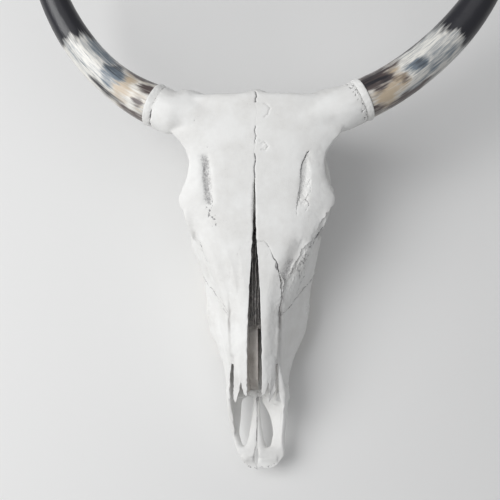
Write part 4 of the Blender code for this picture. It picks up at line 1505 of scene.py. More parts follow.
@dataclass
class ToothRow:
    """The six cheek teeth of one side, worn flat where they rest, in mm from front to back."""

    side: Side
    start: float = 346.0
    teeth: Points = ((15, 14), (18, 18), (19, 20), (24, 23), (28, 25), (31, 24))
    row: dict[float, float] = field(default_factory=lambda: {200: 53.5, 250: 53.5, 300: 48.5, 350: 40})
    space: float = 1.0
    premolars: int = 3

    def place(self, back: float) -> np.ndarray:
        """The middle of the row on the floor, at a distance back, in metres."""
        across = self.side.value * float(profile(self.row)(back))
        return FACE.row(np.array([[across, back, FACE.floor(back)]]))[0] * (1, 1, 0)

    def build(self, plan: Plan, kinds: Sequence[bpy.types.Object], finish: bpy.types.Material) -> None:
        """Sets the teeth.

        Args:
            plan: the tree that sets a tooth at each point.
            kinds: a premolar and a molar of unit size.
            finish: their material.
        """
        points, sizes, turns, kind = [], [], [], []
        front = self.start
        # The cheek side of a tooth is turned outwards, so the right ones are turned half round.
        half = math.pi if self.side is Side.RIGHT else 0
        for number, (length, width) in enumerate(self.teeth):
            ahead = self.place(front) - self.place(front - length)
            points.append((self.place(front) + self.place(front - length)) / 2)
            sizes.append(((length - self.space) * MM, width * MM, 1.0))
            turns.append((0.0, 0.0, math.atan2(ahead[1], ahead[0]) + half))
            kind.append(int(number >= self.premolars))
            front -= length
        data = bpy.data.meshes.new("tooth_places")
        data.from_pydata([tuple(p) for p in points], [], [])
        write(data, "size", np.array(sizes))
        write(data, "turn", np.array(turns))
        data.attributes.new("kind", "INT", "POINT").data.foreach_set("value", kind)
        values = {"Premolar": kinds[0], "Molar": kinds[1], "Material": finish}
        made = plan.made("cheek_teeth_" + self.side.word, data, values)
        for key in ("size", "turn", "kind"):
            if key in made.data.attributes:
                made.data.attributes.remove(made.data.attributes[key])
        made.data.shade_smooth()
        made.data.set_sharp_from_angle(angle=TOOTH_EDGE)
        dressed(made, Slot.BONE, "maxilla_" + self.side.word)


@dataclass
class Tooth:
    """A cheek tooth of unit length and width: its outline, cheek side up, and the crescents in its face."""

    name: str
    corners: Points
    crescents: Sequence[float]
    height: float = 0.025
    around: int = 96
    # How wide the crown is at shares of its height, from the jaw down to the worn face.
    crown: Points = (
        (1, 0.86), (0.8, 0.9), (0.6, 0.95), (0.4, 0.99), (0.25, 1.0), (0.1, 0.99), (0.03, 0.98),
        (0.01, 0.965),
    )

    def outline(self) -> np.ndarray:
        """Draws a smooth line through the corners.

        Returns:
            Rows of (along the row of teeth, towards the cheek).
        """
        line = np.array(self.corners, float)
        count = len(line)
        t = np.arange(self.around) / self.around * count
        i = t.astype(int)
        t = (t - i)[:, None]
        a, b, c, d = (line[(i + k - 1) % count] for k in range(4))
        bend, twist = 2 * a - 5 * b + 4 * c - d, 3 * b - a - 3 * c + d
        return 0.5 * (2 * b + (c - a) * t + bend * t**2 + twist * t**3)

    def build(self) -> bpy.types.Object:
        """Makes the tooth.

        Returns:
            An object that is only copied, never shown.
        """
        outline = self.outline() / 2
        rings, fields = [], []
        for up, swell in self.crown:
            rings.append(np.column_stack([outline * swell, np.full(self.around, up * self.height)]))
            fields.append(np.zeros((self.around, 2)))
        for share in np.linspace(0.93, 0.06, 14):
            flat = outline * share
            edge = eased(np.full(self.around, share), 0.9, 0.8)
            worn, pit = 0.0006 * edge, np.zeros(self.around)
            rim = np.zeros(self.around)
            for middle in self.crescents:
                off = flat[:, 0] - middle
                near = np.abs(flat[:, 1] + 0.10 - 2.6 * off**2) * 24
                near = np.hypot(near, np.maximum(np.abs(off) - 0.17, 0) * 40)
                pit = np.maximum(pit, eased(near, 1.0, 0.4))
                rim = np.maximum(rim, eased(near, 2.1, 1.4))
            height = worn * (1 - rim) + 0.0022 * pit
            rings.append(np.column_stack([flat, height]))
            fields.append(np.column_stack([edge * (1 - rim), pit]))
        points = np.concatenate(rings)
        rows = len(rings)
        index = np.arange(rows * self.around).reshape(rows, self.around)
        after = np.roll(index, -1, axis=1)
        faces = np.stack([index[:-1], after[:-1], after[1:], index[1:]], -1).reshape(-1, 4).tolist()
        data = bpy.data.meshes.new(self.name)
        data.from_pydata(points.tolist(), [], faces + [index[0][::-1].tolist(), index[-1].tolist()])
        for key, values in zip(("dentine", "stain"), np.concatenate(fields).T):
            write(data, key, values)
        outwards(data)
        return bpy.data.objects.new(self.name, data)


def tooth_plan() -> Plan:
    """The tree that sets a premolar or a molar at each point, with that point's size and turn.

    Returns:
        The tree.
    """
    plan = Plan("tooth_row", {"Premolar": "Object", "Molar": "Object"})
    source = plan.source.outputs
    size, kind = plan.named("size", "FLOAT_VECTOR"), plan.named("kind", "INT")
    turn = plan.add("FunctionNodeEulerToRotation", Euler=plan.named("turn", "FLOAT_VECTOR"))
    joined = plan.tree.nodes.new("GeometryNodeJoinGeometry")
    for number, key in enumerate(("Premolar", "Molar")):
        shape = add_node(plan.tree, "GeometryNodeObjectInfo", Object=source[key]).outputs["Geometry"]
        mine = plan.add("FunctionNodeCompare", {"data_type": "INT", "operation": "EQUAL"}, A=kind, B=number)
        part = plan.add(
            "GeometryNodeInstanceOnPoints", Points=source["Geometry"], Selection=mine, Instance=shape,
            Rotation=turn, Scale=size,
        )
        plan.tree.links.new(part, joined.inputs["Geometry"])
    plan.close(joined.outputs["Geometry"])
    return plan


@dataclass
class Scrolls:
    """The thin leaves of bone in the nose, which show in the open gap, and the walls beside them, in mm.

    A leaf is (across, height of its edge, where it ends). A wall's rib is (back, then across and up of each
    edge). The walls are the septum in the gap's front, the bone under the leaves, and the slope that runs
    down into the gap from the right nasal bone.
    """

    leaves: Sequence[tuple[float, float, float]] = (
        (-8.6, -19, 298), (-6.6, -16, 303), (-4.4, -14, 307), (-2.6, -17, 305), (-0.4, -14, 308),
        (1.6, -17, 306), (3.8, -21, 300),
    )
    walls: Sequence[Points] = (
        ((304, -12, -30, 1, -24), (325, -12, -27, 1.3, -17), (350, -11, -26, 1.6, -15),
         (372, -10, -30, 1.6, -21), (384, -9, -43, 1.2, -38), (395, -9, -53, 1, -53)),
        ((180, -5, -33, 1, -33), (230, -7, -29, 3, -29), (262, -9, -26, 4, -26), (309, -10, -25, 5, -25)),
        ((256, -10, -11, -8, -19), (300, -13.5, -12, -9.8, -21), (345, -14, -13, -10, -25),
         (393, -13, -20, -9, -50)),
    )
    start: float = 178.0
    foot: float = -66.0
    half_thick: float = 0.55
    wall_thick: float = 1.4
    step: float = 0.8

    def leaf(self, number: int, across: float, top: float, end: float) -> np.ndarray:
        """One leaf as rings of face places.

        Args:
            number: its number, for its own grain.
            across: where it stands.
            top: the height of its edge.
            end: where it ends.
        Returns:
            Rings of places, from its back to its front.
        """
        back = np.arange(self.start, end, self.step)
        line = np.stack([back, np.full(len(back), 40.0 * number), 0 * back], 1)
        high = top + 1.5 * grain(line, 2.6, 60) + 1.6 * grain(line, 9, 61)
        high -= 10 * eased(back, 215, 180) + 14 * eased(back, end - 7, end)
        middle = across + 0.8 * grain(line, 14, 62) + 0.25 * grain(line, 3, 63)
        drop = np.array([0, 0.4, 1.2, 3, 8, 15, 26, 60])
        up = np.maximum(high[:, None] - drop, self.foot)
        curl = 0.7 * np.exp(-drop / 1.5) * (1 if number % 2 else -1)
        half = self.half_thick * (0.7 + 0.5 * grain(line, 4, 64))[:, None] * np.array([0.5, 0.9] + 6 * [1])
        rows = np.broadcast_to(back[:, None], up.shape)
        sides = [np.stack([middle[:, None] + curl + sign * half, rows, up], -1) for sign in (-1, 1)]
        return np.concatenate([sides[0], sides[1][:, ::-1]], axis=1)

    def leaning_wall(self, ribs: Points) -> np.ndarray:
        """One wall as rings of face places.

        Args:
            ribs: its ribs.
        Returns:
            Rings of places, from its back to its front.
        """
        back, low_x, low_z, high_x, high_z = (column[:, None] for column in columns_at(ribs, self.step))
        share = np.linspace(0, 1, 18)
        across = low_x + (high_x - low_x) * share
        up = low_z + (high_z - low_z) * share**1.5
        ends = 6 * eased(back, back[0] + 7, back[0]) + 5 * eased(back, back[-1] - 8, back[-1])
        top = np.stack([across, np.broadcast_to(back, up.shape), up - ends], -1)
        flat = top.reshape(-1, 3)
        rough = 0.5 * grain(flat, 2.2, 66) + 0.8 * grain(flat, 7, 67)
        top = top + rough.reshape(up.shape)[..., None] * np.array([0.2, 0.0, 1.0])
        under = top - np.array([0, 0, self.wall_thick])
        return np.concatenate([top, under[:, ::-1]], axis=1)

    def build(self, finish: bpy.types.Material) -> None:
        """Makes the leaves and the walls.

        Args:
            finish: their material.
        """
        pieces = [self.leaf(number, *leaf) for number, leaf in enumerate(self.leaves)]
        mesh = bmesh.new()
        for rings in [*pieces, *map(self.leaning_wall, self.walls)]:
            verts = [[mesh.verts.new(p) for p in FACE.row(ring)] for ring in rings]
            for a, b in zip(verts, verts[1:]):
                for i in range(len(a)):
                    j = (i + 1) % len(a)
                    mesh.faces.new((a[i], a[j], b[j], b[i]))
            mesh.faces.new(verts[0][::-1])
            mesh.faces.new(verts[-1])
        bmesh.ops.recalc_face_normals(mesh, faces=mesh.faces)
        bmesh.ops.triangulate(mesh, faces=mesh.faces)
        data = bpy.data.meshes.new("nose_scrolls")
        mesh.to_mesh(data)
        places = FACE.face(np.array([v.co for v in mesh.verts]))
        mesh.free()
        # The leaves lie deep and dusty, and their soil and "hollow" also paint the deep gap's shade; the septum
        # before them is nearly clean.
        front = eased(places[:, 1], 302, 312)
        soil = (1 - front) * (0.46 + 0.25 * grain(places, 3, 68))
        soil += front * np.clip(0.35 * grain(places, 4, 69), 0, 1)
        write(data, "soil", np.clip(soil, 0, 1))
        write(data, "hollow", 0.10 * (1 - front))
        data.shade_smooth()
        data.set_sharp_from_angle(angle=TOOTH_EDGE)
        dressed(placed("nose_scrolls", data, finish), Slot.INNER_BONE)


@dataclass
class Studio:
    """The pale floor, the soft light and the camera over the forehead."""

    aim: tuple[float, float, float] = (-8, 206, 0)
    distance: float = 1.1
    roll: float = math.radians(2)
    view: float = math.radians(32.2)
    floor: str = "EEEEED"
    reach: float = 4.0
    sky: tuple[float, float, float, float] = (0.98, 0.99, 1.02, 1)
    sky_strength: float = 0.265
    lamps: Sequence[tuple[str, tuple[float, float, float], float, float]] = (
        ("window", (-1.45, -0.25, 1.8), 1.7, 35.5),
        ("ceiling", (0.0, 0.1, 2.6), 2.5, 8.5),
    )

    def build(self) -> None:
        """Adds the floor, the lights and the camera."""
        scene = bpy.context.scene
        scene.view_settings.view_transform = "Standard"
        paper = bpy.data.materials.new("matt_backdrop_board")
        paper.use_nodes = True
        shader = paper.node_tree.nodes["Principled BSDF"]
        shader.inputs["Base Color"].default_value = linear(self.floor)
        shader.inputs["Roughness"].default_value = 0.9
        data = bpy.data.meshes.new("floor")
        r = self.reach
        data.from_pydata([(-r, -r, 0), (r, -r, 0), (r, r, 0), (-r, r, 0)], [], [(0, 1, 2, 3)])
        floor = placed("floor", data, paper)
        world = bpy.data.worlds.new("studio")
        scene.world = world
        world.use_nodes = True
        glow = world.node_tree.nodes["Background"].inputs
        glow["Color"].default_value = self.sky
        glow["Strength"].default_value = self.sky_strength
        for name, place, size, power in self.lamps:
            lamp = bpy.data.lights.new(name, "AREA")
            lamp.size = size
            lamp.energy = power
            light = placed(name, lamp)
            light.location = place
            light.rotation_euler = Vector(place).to_track_quat("Z", "Y").to_euler()
        scene.camera = placed("camera", bpy.data.cameras.new("camera"))
        scene.camera.data.angle = self.view
        tilt = Matrix.Rotation(FACE.slope, 3, "X")
        back = tilt @ Vector((math.sin(self.roll), 0, math.cos(self.roll)))
        right = (tilt @ Vector((0, 1, 0))).cross(back).normalized()
        turn = Matrix((right, back.cross(right), back)).transposed().to_4x4()
        scene.camera.matrix_world = Matrix.Translation(FACE.point(*self.aim) + back * self.distance) @ turn


LEFT_HORN = Horn(
    Side.LEFT, (140.5, 9.5, -29.5),
    {0: 26.8, 67: 25.4, 135: 24.0, 200: 21.2, 280: 16.0, 350: 10.0, 400: 4.2},
    {0: 25, 67: 36, 135: 46, 200: 58, 300: 80, 410: 93},
    {0: -6, 100: -2, 250: 12, 410: 30},
    (118, 158),
    (
        Patch(Tone.BROWN, 16, 0.50, 30, 0.66, 1.3), Patch(Tone.BLACK, 15, 0.55, 27, 0.52, 0.75),
        Patch(Tone.BROWN, 48, 0.72, 18, 0.30, 0.8), Patch(Tone.BROWN, 4, -0.75, 15, 0.30, 0.9),
        Patch(Tone.TAN, 24, -0.45, 20, 0.50, 0.95), Patch(Tone.TAN, 44, 0.0, 12, 0.65, 0.95),
        Patch(Tone.BROWN, 50, -0.18, 7, 0.30, 0.6), Patch(Tone.WHITE, 62, 0.10, 9, 0.40, 0.9),
        Patch(Tone.SLATE, 76, 0.0, 20, 0.38, 1.15), Patch(Tone.BLACK, 80, 0.02, 14, 0.26, 0.55),
        Patch(Tone.WHITE, 92, 0.52, 26, 0.34, 1.1), Patch(Tone.SLATE, 102, -0.45, 30, 0.40, 0.7),
        Patch(Tone.BLACK, 84, 0.97, 42, 0.09, 1.0), Patch(Tone.BROWN, 48, -0.93, 46, 0.13, 0.95),
        Patch(Tone.SLATE, 62, -0.80, 22, 0.22, 0.75),
    ),
    {-180: 0.3, -90: 0.6, -45: 0.6, 0: 0.4, 45: 0.35, 90: 0.4, 180: 0.3},
)
RIGHT_HORN = Horn(
    Side.RIGHT, (-137.0, 15.0, -29.5),
    {0: 26.7, 67: 22.6, 135: 21.0, 200: 18.8, 280: 14.6, 350: 9.2, 400: 4.0},
    {0: 25, 67: 40, 135: 55, 200: 68, 300: 84, 410: 94},
    {0: -9, 100: -4, 250: 12, 410: 30},
    (116, 150),
    (
        Patch(Tone.BROWN, 9, 0.45, 14, 0.30, 1.05), Patch(Tone.BROWN, 12, -0.30, 9, 0.18, 0.85),
        Patch(Tone.BROWN, 10, -0.90, 30, 0.20, 0.95), Patch(Tone.BROWN, 30, 0.95, 36, 0.18, 1.1),
        Patch(Tone.WHITE, 22, 0.0, 9, 0.75, 0.85), Patch(Tone.TAN, 38, 0.0, 14, 0.95, 0.95),
        Patch(Tone.SLATE, 63, 0.30, 20, 0.50, 1.05), Patch(Tone.SLATE, 60, -0.25, 12, 0.30, 0.9),
        Patch(Tone.BLACK, 66, 0.45, 18, 0.34, 0.62), Patch(Tone.BLACK, 60, -0.76, 28, 0.16, 0.8),
        Patch(Tone.WHITE, 68, -0.50, 14, 0.22, 0.9), Patch(Tone.WHITE, 98, -0.30, 25, 0.62, 1.35),
        Patch(Tone.SLATE, 98, 0.78, 36, 0.30, 0.95), Patch(Tone.WHITE, 138, -0.25, 12, 0.20, 1.0),
    ),
    {-180: 0.2, -100: 0.55, -30: 0.5, 0: 0.25, 60: 0.1, 180: 0.2},
)


# The suture down the middle, hair-fine or gaping, and the one above the left nasal bone.
MIDLINE = (
    # Above the left nasal bone the soil paints the dark seam and the shadow beside its raised rim.
    Stroke(((0.5, 194.6, -2), (9.8, 194.6, -2), (13.6, 197.7, -2), (17.4, 205, -2), (19, 212, -2)),
           0.7, 0.9, 0.55, 0.5),
    Stroke(((-1.1, 5, -4), (0.6, 10.4, 0), (-1.6, 14.5, 1), (-1.0, 18.3, 1.5)), 1.0, 2.2, 1.0, 0.8, False),
    Stroke(((-1, 18, 1.5), (0.5, 30, 2.5), (-0.5, 46, 2.8)), 0.5, 0.25, 0.0, 1.0),
    Stroke(((-0.3, 46.4, 2.8), (-1.6, 54, 2.6), (-0.3, 61.6, 2.4), (-2.2, 67.8, 2), (-1.6, 74, 1.6)),
           0.7, 1.3, 0.9),
    Stroke(((-1.6, 74, 1.6), (-2.4, 80, 1.3), (-1.6, 86, 1)), 0.5, 0.4, 0.2),
    Stroke(
        ((-1.6, 84, 1), (-0.8, 91.8, 0.5), (-2.9, 100.6, 0), (-1.7, 109, -0.7), (-2.5, 118, -1.5)),
        0.8, 1.6, 1.0, 0.5, False,
    ),
)
# The broken outer layer below each eye.
FLAKES = (
    Flake(
        ((98.6, 147.8, -24), (91.6, 159.8, -14), (83.9, 170.1, -14), (79, 182.8, -19.5), (68.5, 195.7, -14),
         (59.5, 206, -10), (54.3, 218.8, -9.4), (49.2, 231.6, -8.7), (44.1, 244.3, -7.9), (34, 260, -5)),
        24, 2.6, 0.95, 1.1, rough=0.9, fades=False, fine_mm=0.8,
    ),
    Flake(
        ((-85.8, 166.1, -13), (-78.6, 182.7, -19), (-78.2, 193, -27.7), (-75.7, 206, -40), (-70, 218, -42),
         (-64, 232.5, -40), (-58, 246, -34)),
        14, 1.3, 0.4, 1.0, side=-1, rough=0.5,
    ),
    # The lifted rim of the broken plate, the hollow beside it, and the ploughed bone below it.
    Stroke(((53, 219, -8), (48, 229, -8), (43, 239, -7), (38, 248, -6)), 1.4, -1.2, 0.0, 1.2),
    Stroke(((62, 192, -9), (55, 207, -9), (50, 220, -8), (45, 233, -8), (39, 246, -7), (33, 258, -7)),
           10, 4, 0, 0.8, fine_mm=2.0),
    # The soil in this hollow beside the nasal bone is painted shade.
    Stroke(((44, 222, -9), (39, 236, -9), (34, 248, -9), (30.5, 258, -8)), 8.0, 0.8, 0.50, 0.8, False, 1.6),
    # This dark groove along the broken plate's edge below the eye: its soil is painted shadow.
    Stroke(((97, 154, -24), (90, 166, -24), (84, 178, -28), (82, 190, -34), (76, 204, -36)),
           2.6, 2.0, 0.95, 1.2),
    Pits(((80, 186, -30), (70, 200, -26), (62, 214, -22), (56, 230, -20)), 8, 0.9, 0.55, size=2.4, cover=0.1),
    Pits(((70, 206, -30), (60, 226, -28), (50, 246, -24)), 13, 0.8, 0.55, size=2.8, fine_mm=1.2),
    Stroke(((63, 238, -50), (57, 250, -44), (54, 262, -42), (56, 268, -46)), 0.6, 0.9, 0.9, 0.9),
    Stroke(((66, 226, -44), (62, 240, -44), (55, 254, -38)), 0.6, 0.7, 0.8, 0.9),
    Stroke(((-74, 192, -22), (-70, 210, -30), (-63, 230, -34)), 6.5, 2.0, 0.0, 0.8, fine_mm=2.0),
    Pits(((-76, 190, -22), (-70, 208, -30), (-64, 226, -34)),
         5.5, 0.5, 0.95, cover=-0.05, fine_mm=1.1),
)
# Two thin shells of bone have sprung off beside the middle, and scuffs lie further out.
CRESCENTS = (
    Stroke(((7.3, 19.7, 1.6), (12.3, 21, 1.7), (17.4, 26.2, 2.2), (14.9, 33.8, 2.6), (8.6, 38.9, 3)),
           1.0, 0.8, 0.38),
    Stroke(((2.2, 66.6, 2.1), (8.6, 67.9, 2), (14.9, 74.2, 1.4), (12.3, 79.2, 1.2), (4.7, 77.9, 1.4)),
           1.0, 1.0, 0.40),
    Pits(((-79, 31, -6), (-78, 47, -6)), 2.6, 0.3, 0.40, size=1.8),
    Pits(((-63, 74, -5), (-54, 77, -4)), 2.6, 0.3, 0.40, size=1.8),
    Stroke(((6, 70, 2), (9, 74, 1.6)), 3.0, 0.6, 0.05),
)
# The groove over each eye: a plain one on the right, and on the left a sunken one with a broken edge.
GROOVES = (
    # The soil in the right groove is partly dust and partly painted shade.
    Stroke(((-67.5, 80, -5), (-65.5, 98, -6), (-64.5, 116, -7), (-62.5, 136, -8), (-60, 152, -8)),
           6.2, 3.0, 0.58, 0.8, fine_mm=1.4),
    Pits(((-66, 84, -5), (-64.5, 112, -7), (-62.5, 140, -8)),
         3.4, 0.2, 0.66, size=2.6, cover=0.1, fine_mm=1.2),
    Pits(((-63, 134, -8), (-60, 154, -8.6), (-55, 178, -8)),
         6.0, 0.2, 0.88, cover=-0.05, fine_mm=1.1),
    Flake(
        ((71, 78, -4.3), (64, 83, -4), (59.3, 94.1, -3.5), (57.5, 105, -4), (56.8, 116.9, -5.1),
         (54.3, 135.9, -6.1), (50.5, 155, -6.8)),
        15, 1.5, 0.9, 0.9, rough=0.7, slope=1.0, fine_mm=0.7,
    ),
    # These two dark lines along the groove's inner edge are painted shadow that the edge casts into the groove.
    Stroke(((70, 78.5, -4), (64, 83, -4), (59.8, 94, -3.5), (57.9, 105, -4), (57.2, 117, -5)),
           0.9, 1.3, 1.0, 0.9),
    Stroke(((57.2, 117, -5), (54.8, 136, -6.1), (51, 155, -6.8), (51.5, 164, -7)), 0.7, 0.9, 0.8, 1.2),
    Stroke(((59, 112, -7), (67, 118, -7), (69.5, 132, -8), (63, 140, -8)), 0.6, 0.6, 0.6, 1.2),
    Stroke(((57, 137, -8), (63, 141, -8), (68, 149, -8), (61, 158, -8)), 0.6, 0.7, 0.7, 1.2),
    Pits(((63, 100, -8), (62, 124, -8), (57, 152, -7)), 7.0, 0.8, 0.22, size=3.6, cover=0.1, fine_mm=1.0),
)
# The horns' ends of the skull are pitted beside the collars, more so on the left.
RINGS = (
    Pits(LEFT_HORN.ring(-14.2, 28, -110, 110), 3.6, 1.5, 0.85, size=3.2, cover=-0.16, fine_mm=1.1),
    Stroke(LEFT_HORN.ring(-11.4, 28, -120, 120), 1.0, 0.5, 0.20, 1.4, False),
    Pits(RIGHT_HORN.ring(-13.0, 28, -100, 20), 2.4, 0.7, 0.25, size=2.6, cover=-0.1),
    Stroke(RIGHT_HORN.ring(-11.2, 28, -110, -6), 1.5, 1.6, 1.0, 0.8),
    Stroke(RIGHT_HORN.ring(-11.2, 28, -10, 250), 0.8, 0.5, 0.30, 0.6),
)
# The front edge of the incisive bones is broken and pitted, and swollen behind its middle.
FRONT = {
    Side.RIGHT: (
        Pits(((-26, 482, -36), (-16, 489, -36), (-8, 492, -36), (0, 494, -36)),
             3.0, 0.4, 0.75, size=1.7, cover=0.25),
        Stroke(((-22, 478, -34), (-4, 479, -33)), 4.2, -1.7, 0.0, 0.2, fine_mm=1.5),
    ),
    Side.LEFT: (
        Pits(((0, 494, -36), (8, 493, -36), (16, 490, -36), (28, 482, -36)),
             2.6, 0.4, 0.55, size=1.7, cover=0.1),
        Stroke(((3, 479, -33), (28, 478, -34)), 4.2, -1.7, 0.0, 0.2, fine_mm=1.5),
        Stroke(((30, 383, -45), (31, 396, -44), (30, 410, -42)), 4.5, -2.6, 0.0, 0.3, fine_mm=1.5),
    ),
}
# Seams, openings and rough places that show from the side, from behind and from below.
FORMS = (
    Stroke(((94, 108, -76), (97, 114, -90), (92, 121, -100)), 0.6, 0.7, 0.4, fine_mm=1.3),
    Stroke(((93, 120, -40), (88, 124, -52), (80, 126, -58)), 0.6, 0.6, 0.35, fine_mm=1.3),
    Stroke(((64, 30, -55), (60, 55, -70), (56, 80, -82), (52, 100, -92)), 0.6, 0.6, 0.3, 1.0, fine_mm=1.3),
    Stroke(((92, 168, -50), (88, 184, -66), (84, 200, -78), (78, 214, -88)),
           0.5, 0.5, 0.25, 1.0, fine_mm=1.3),
    Stroke(((66, 56, -103),), 3.6, 7.0, 0.9, 0.4),
    Stroke(((39, 139, -62),), 4.0, 7.0, 0.9, 0.6),
    Stroke(((42, 128, -72),), 3.0, 5.0, 0.9, 0.6),
    Stroke(((26, 22, -146),), 2.4, 4.0, 0.8, 0.3),
    Stroke(((13, 84, -140),), 7.0, -2.2, 0.0, 0.4, fine_mm=2.5),
    Stroke(((22, 6, -52), (24, 12, -92)), 9.0, 1.8, 0.05, 0.8, fine_mm=2.5),
    Pits(((50, 2, -50), (56, 6, -80), (52, 12, -106)), 12, 0.7, 0.18, size=3.2, cover=-0.15, fine_mm=2.2),
    Pits(((94, 128, -92), (90, 92, -97)), 6, 0.5, 0.15, size=2.4, cover=-0.2, fine_mm=2.0),
)
# Those on the middle line of the back and the base.
MIDDLE_FORMS = (
    Stroke(((0, 3, -22), (0, 3, -40), (0, 6, -70)), 3.5, -2.0, 0.0, 0.4, fine_mm=2.0),
    Pits(((0, 6, -62),), 16, 1.0, 0.15, size=3.4, cover=-0.1, fine_mm=1.6),
    Stroke(((-17, 92, -138), (0, 93, -138), (17, 92, -138)), 0.7, 0.8, 0.35, 0.8),
)
# The swelling, the opening and the rough places of each upper jaw bone.
CHEEKS = (
    Stroke(((58, 320, -80),), 4.2, 7.5, 0.9, 0.4),
    Stroke(((58, 325, -82), (54, 336, -84)), 3.5, 1.6, 0.1, 0.6),
    Pits(((62, 288, -78),), 11, -1.3, 0.08, size=3.4, cover=0.2, fine_mm=1.4),
    Pits(((62, 345, -84), (60, 300, -92), (60, 255, -105)), 7, 0.4, 0.22, cover=-0.2, fine_mm=1.4),
    Stroke(((18, 266, -92),), 2.6, 5.0, 0.8, 0.4),
    Stroke(((3, 268, -92), (14, 258, -95), (30, 262, -94), (38, 270, -90)), 0.6, 0.7, 0.4, 1.0),
    Pits(((18, 300, -84), (16, 330, -76)), 12, 0.35, 0.12, size=2.4, cover=-0.15, fine_mm=1.6),
)
# Bone has filled the sutures between the nasal bones and the cheeks.
CLOSED = [
    Stroke(((-36, 284, -9), (-35, 300, -12), (-33.5, 320, -13), (-32, 346, -12)),
           5.0, -2.3, 0.0, 0.2, fine_mm=1.8),
]
CLOSED_LEFT = [
    Stroke(((28, 303, -12), (27.5, 322, -14), (26.5, 334, -14), (26, 347, -14)),
           4.0, -1.2, 0.0, 0.2, fine_mm=1.8),
]
# A fine open suture on the right cheek.
SUTURE = [
    Stroke(((-66, 256, -34), (-61, 265, -30), (-60, 258, -30), (-55, 265, -26), (-50, 273, -22),
            (-44, 283, -16), (-37, 291, -10)),
           0.6, 0.8, 0.75, 0.9, fine_mm=1.0),
]
# The left incisive bone's foot runs up beside the nasal bone as a spike; its ribs are as spike_rings() says.
SPIKE = (
    (355, 28.6, 29.6, -19.6, 2), (362, 27.6, 31.2, -19.2, 4), (370, 27.0, 33.4, -18.8, 9),
    (384, 26.6, 37.0, -18.4, 16), (394, 28.0, 38.6, -19.0, 15), (404, 32.0, 37.8, -22.6, 8),
    (411, 34.0, 37.0, -26.6, 4),
)
# The palate is rough where the incisive bones meet it.
PALATE = [
    Pits(((-20, 398, -46), (0, 399, -52), (20, 398, -44)), 9, 0.9, 0.35, size=2.6, cover=0.1, fine_mm=1.3),
]
# The suture beside the right nasal bone has closed, as it has in old cows.
HEALED = Route([
    (-6, 195, -2), (-14, 197, -2), (-21, 202, -2), (-23, 209, -3), (-26, 214, -3), (-31, 224, -3),
    (-34, 235, -4), (-36, 253, -5), (-36, 272, -7), (-34, 287, -7), (-33, 292, -7), (-32, 308, -7),
    (-31, 335, -8), (-30, 349, -8),
])
# So have those above and below the left nasal bone, and those at the foot of the incisive bones.
HEALED_TOP = Route([(6, 194, -2), (14, 197, -2), (19, 202, -2)])
HEALED_LOW = Route([(28, 301, -13), (27, 322, -14), (26, 334, -14), (25, 349, -14)])
HEALED_SIDE = Route([
    (26, 348, -9), (28, 352, -13), (31, 357, -18), (34, 368, -29), (37, 377, -38), (41, 385, -46),
])
HEALED_FRONT = Route([
    (-37, 352, -16), (-37, 366, -27), (-40, 382, -43), (-32, 386, -46), (-18, 391, -51), (0, 392.5, -53),
    (14, 392, -53), (25, 383, -44), (27, 378, -39),
])


PREMOLAR = Tooth(
    "premolar",
    ((-0.95, 0.75), (-0.6, 0.95), (-0.2, 0.84), (0.1, 0.95), (0.45, 0.84), (0.9, 0.92), (1.0, 0.3),
     (0.85, -0.45), (0.4, -0.9), (0, -1), (-0.4, -0.9), (-0.85, -0.45), (-1, 0.2)),
    (0.0,),
)
MOLAR = Tooth(
    "molar",
    ((-0.98, 0.66), (-0.84, 0.99), (-0.58, 0.78), (-0.32, 0.88), (-0.05, 1.0), (0.2, 0.76), (0.46, 0.86),
     (0.7, 0.78), (0.95, 0.94), (1.0, 0.55), (0.97, 0.05), (0.92, -0.5), (0.68, -0.9), (0.38, -0.94),
     (0.13, -0.62), (0, -0.66), (-0.13, -0.62), (-0.38, -0.94), (-0.7, -0.9), (-0.94, -0.48), (-1.0, 0.1)),
    (-0.25, 0.25),
)


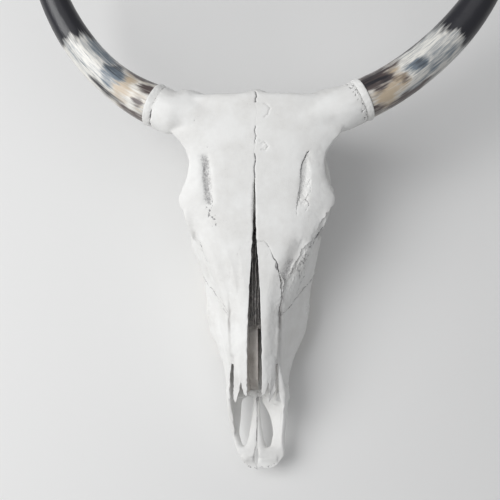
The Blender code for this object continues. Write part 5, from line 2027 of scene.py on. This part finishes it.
def skull_bones() -> list[Bone]:
    """Gives each bone its marks.

    Returns:
        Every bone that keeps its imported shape.
    """
    both = [mark for form in FORMS for mark in (form, form.mirrored())]
    marks = [*MIDLINE, *FLAKES, *CRESCENTS, *GROOVES, *RINGS, *SUTURE, *both, *MIDDLE_FORMS]
    bones = [Bone("cranium", marks, [HEALED, HEALED_TOP])]
    for side in Side:
        cheeks = [mark if side is Side.LEFT else mark.mirrored() for mark in CHEEKS]
        if side is Side.RIGHT:
            healed, closed, spike = [HEALED, HEALED_FRONT], CLOSED, ()
            cheeks += [*closed, *PALATE, *SUTURE]
        else:
            healed, closed, spike = [HEALED_TOP, HEALED_LOW, HEALED_SIDE, HEALED_FRONT], CLOSED_LEFT, SPIKE
            cheeks += [*closed, *PALATE]
        front = [*FRONT[side], *PALATE]
        ends = [HEALED_SIDE, HEALED_FRONT]
        bones += [
            Bone("nasal_" + side.word, closed, healed, plain_mm=1.5, torn=0.8),
            Bone("maxilla_" + side.word, cheeks, healed, cut=0.0175),
            Bone("incisive_" + side.word, front, ends, plain_mm=1.5, smooth=80, spike=spike),
        ]
    return [*bones, Bone("vomer", slot=Slot.INNER_BONE, plain_mm=1.2, hidden_mm=1.6, ragged=0.5)]


def neighbours(shapes: dict[str, Skin], node: str) -> BVHTree:
    """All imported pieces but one, as a tree that finds near points.

    Args:
        shapes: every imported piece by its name.
        node: the one to leave out.
    Returns:
        The tree.
    """
    others = [shape for name, shape in shapes.items() if name != node]
    starts = np.cumsum([0] + [len(shape.points) for shape in others])
    points = np.concatenate([shape.points for shape in others])
    faces = np.concatenate([shape.faces + start for shape, start in zip(others, starts)])
    return BVHTree.FromPolygons(points.tolist(), faces.tolist())


def main() -> None:
    """Builds every piece in order and reports each."""
    logging.basicConfig(level=logging.INFO, format="%(name)s: %(message)s")
    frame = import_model()
    Studio().build()
    bone = BoneFinish("sun_bleached_bone").material()
    # The inner bone's duller colours and bluish soil are partly dust and partly painted shade for the deep
    # nose.
    inner = BoneFinish("dusty_inner_bone", light="DDD9D4", shade="BEB8B1", soil="565963").material()
    nodes = frame["nodes"]
    shapes = {name: Skin.of_node(nodes[name]) for name in nodes}
    for part in skull_bones():
        finish = inner if part.slot is Slot.INNER_BONE else bone
        part.build(nodes[part.node], neighbours(shapes, part.node), finish)
    sheath, polished = sheath_plan(), HornFinish().material()
    for horn in (LEFT_HORN, RIGHT_HORN):
        horn.build_collar(bone)
        horn.build_sheath(sheath, polished)
    kinds = [PREMOLAR.build(), MOLAR.build()]
    teeth, enamel = tooth_plan(), ToothFinish().material()
    for side in Side:
        ToothRow(side).build(teeth, kinds, enamel)
    for kind in kinds:
        bpy.data.objects.remove(kind)
    Scrolls().build(inner)


if __name__ == "__main__":
    main()
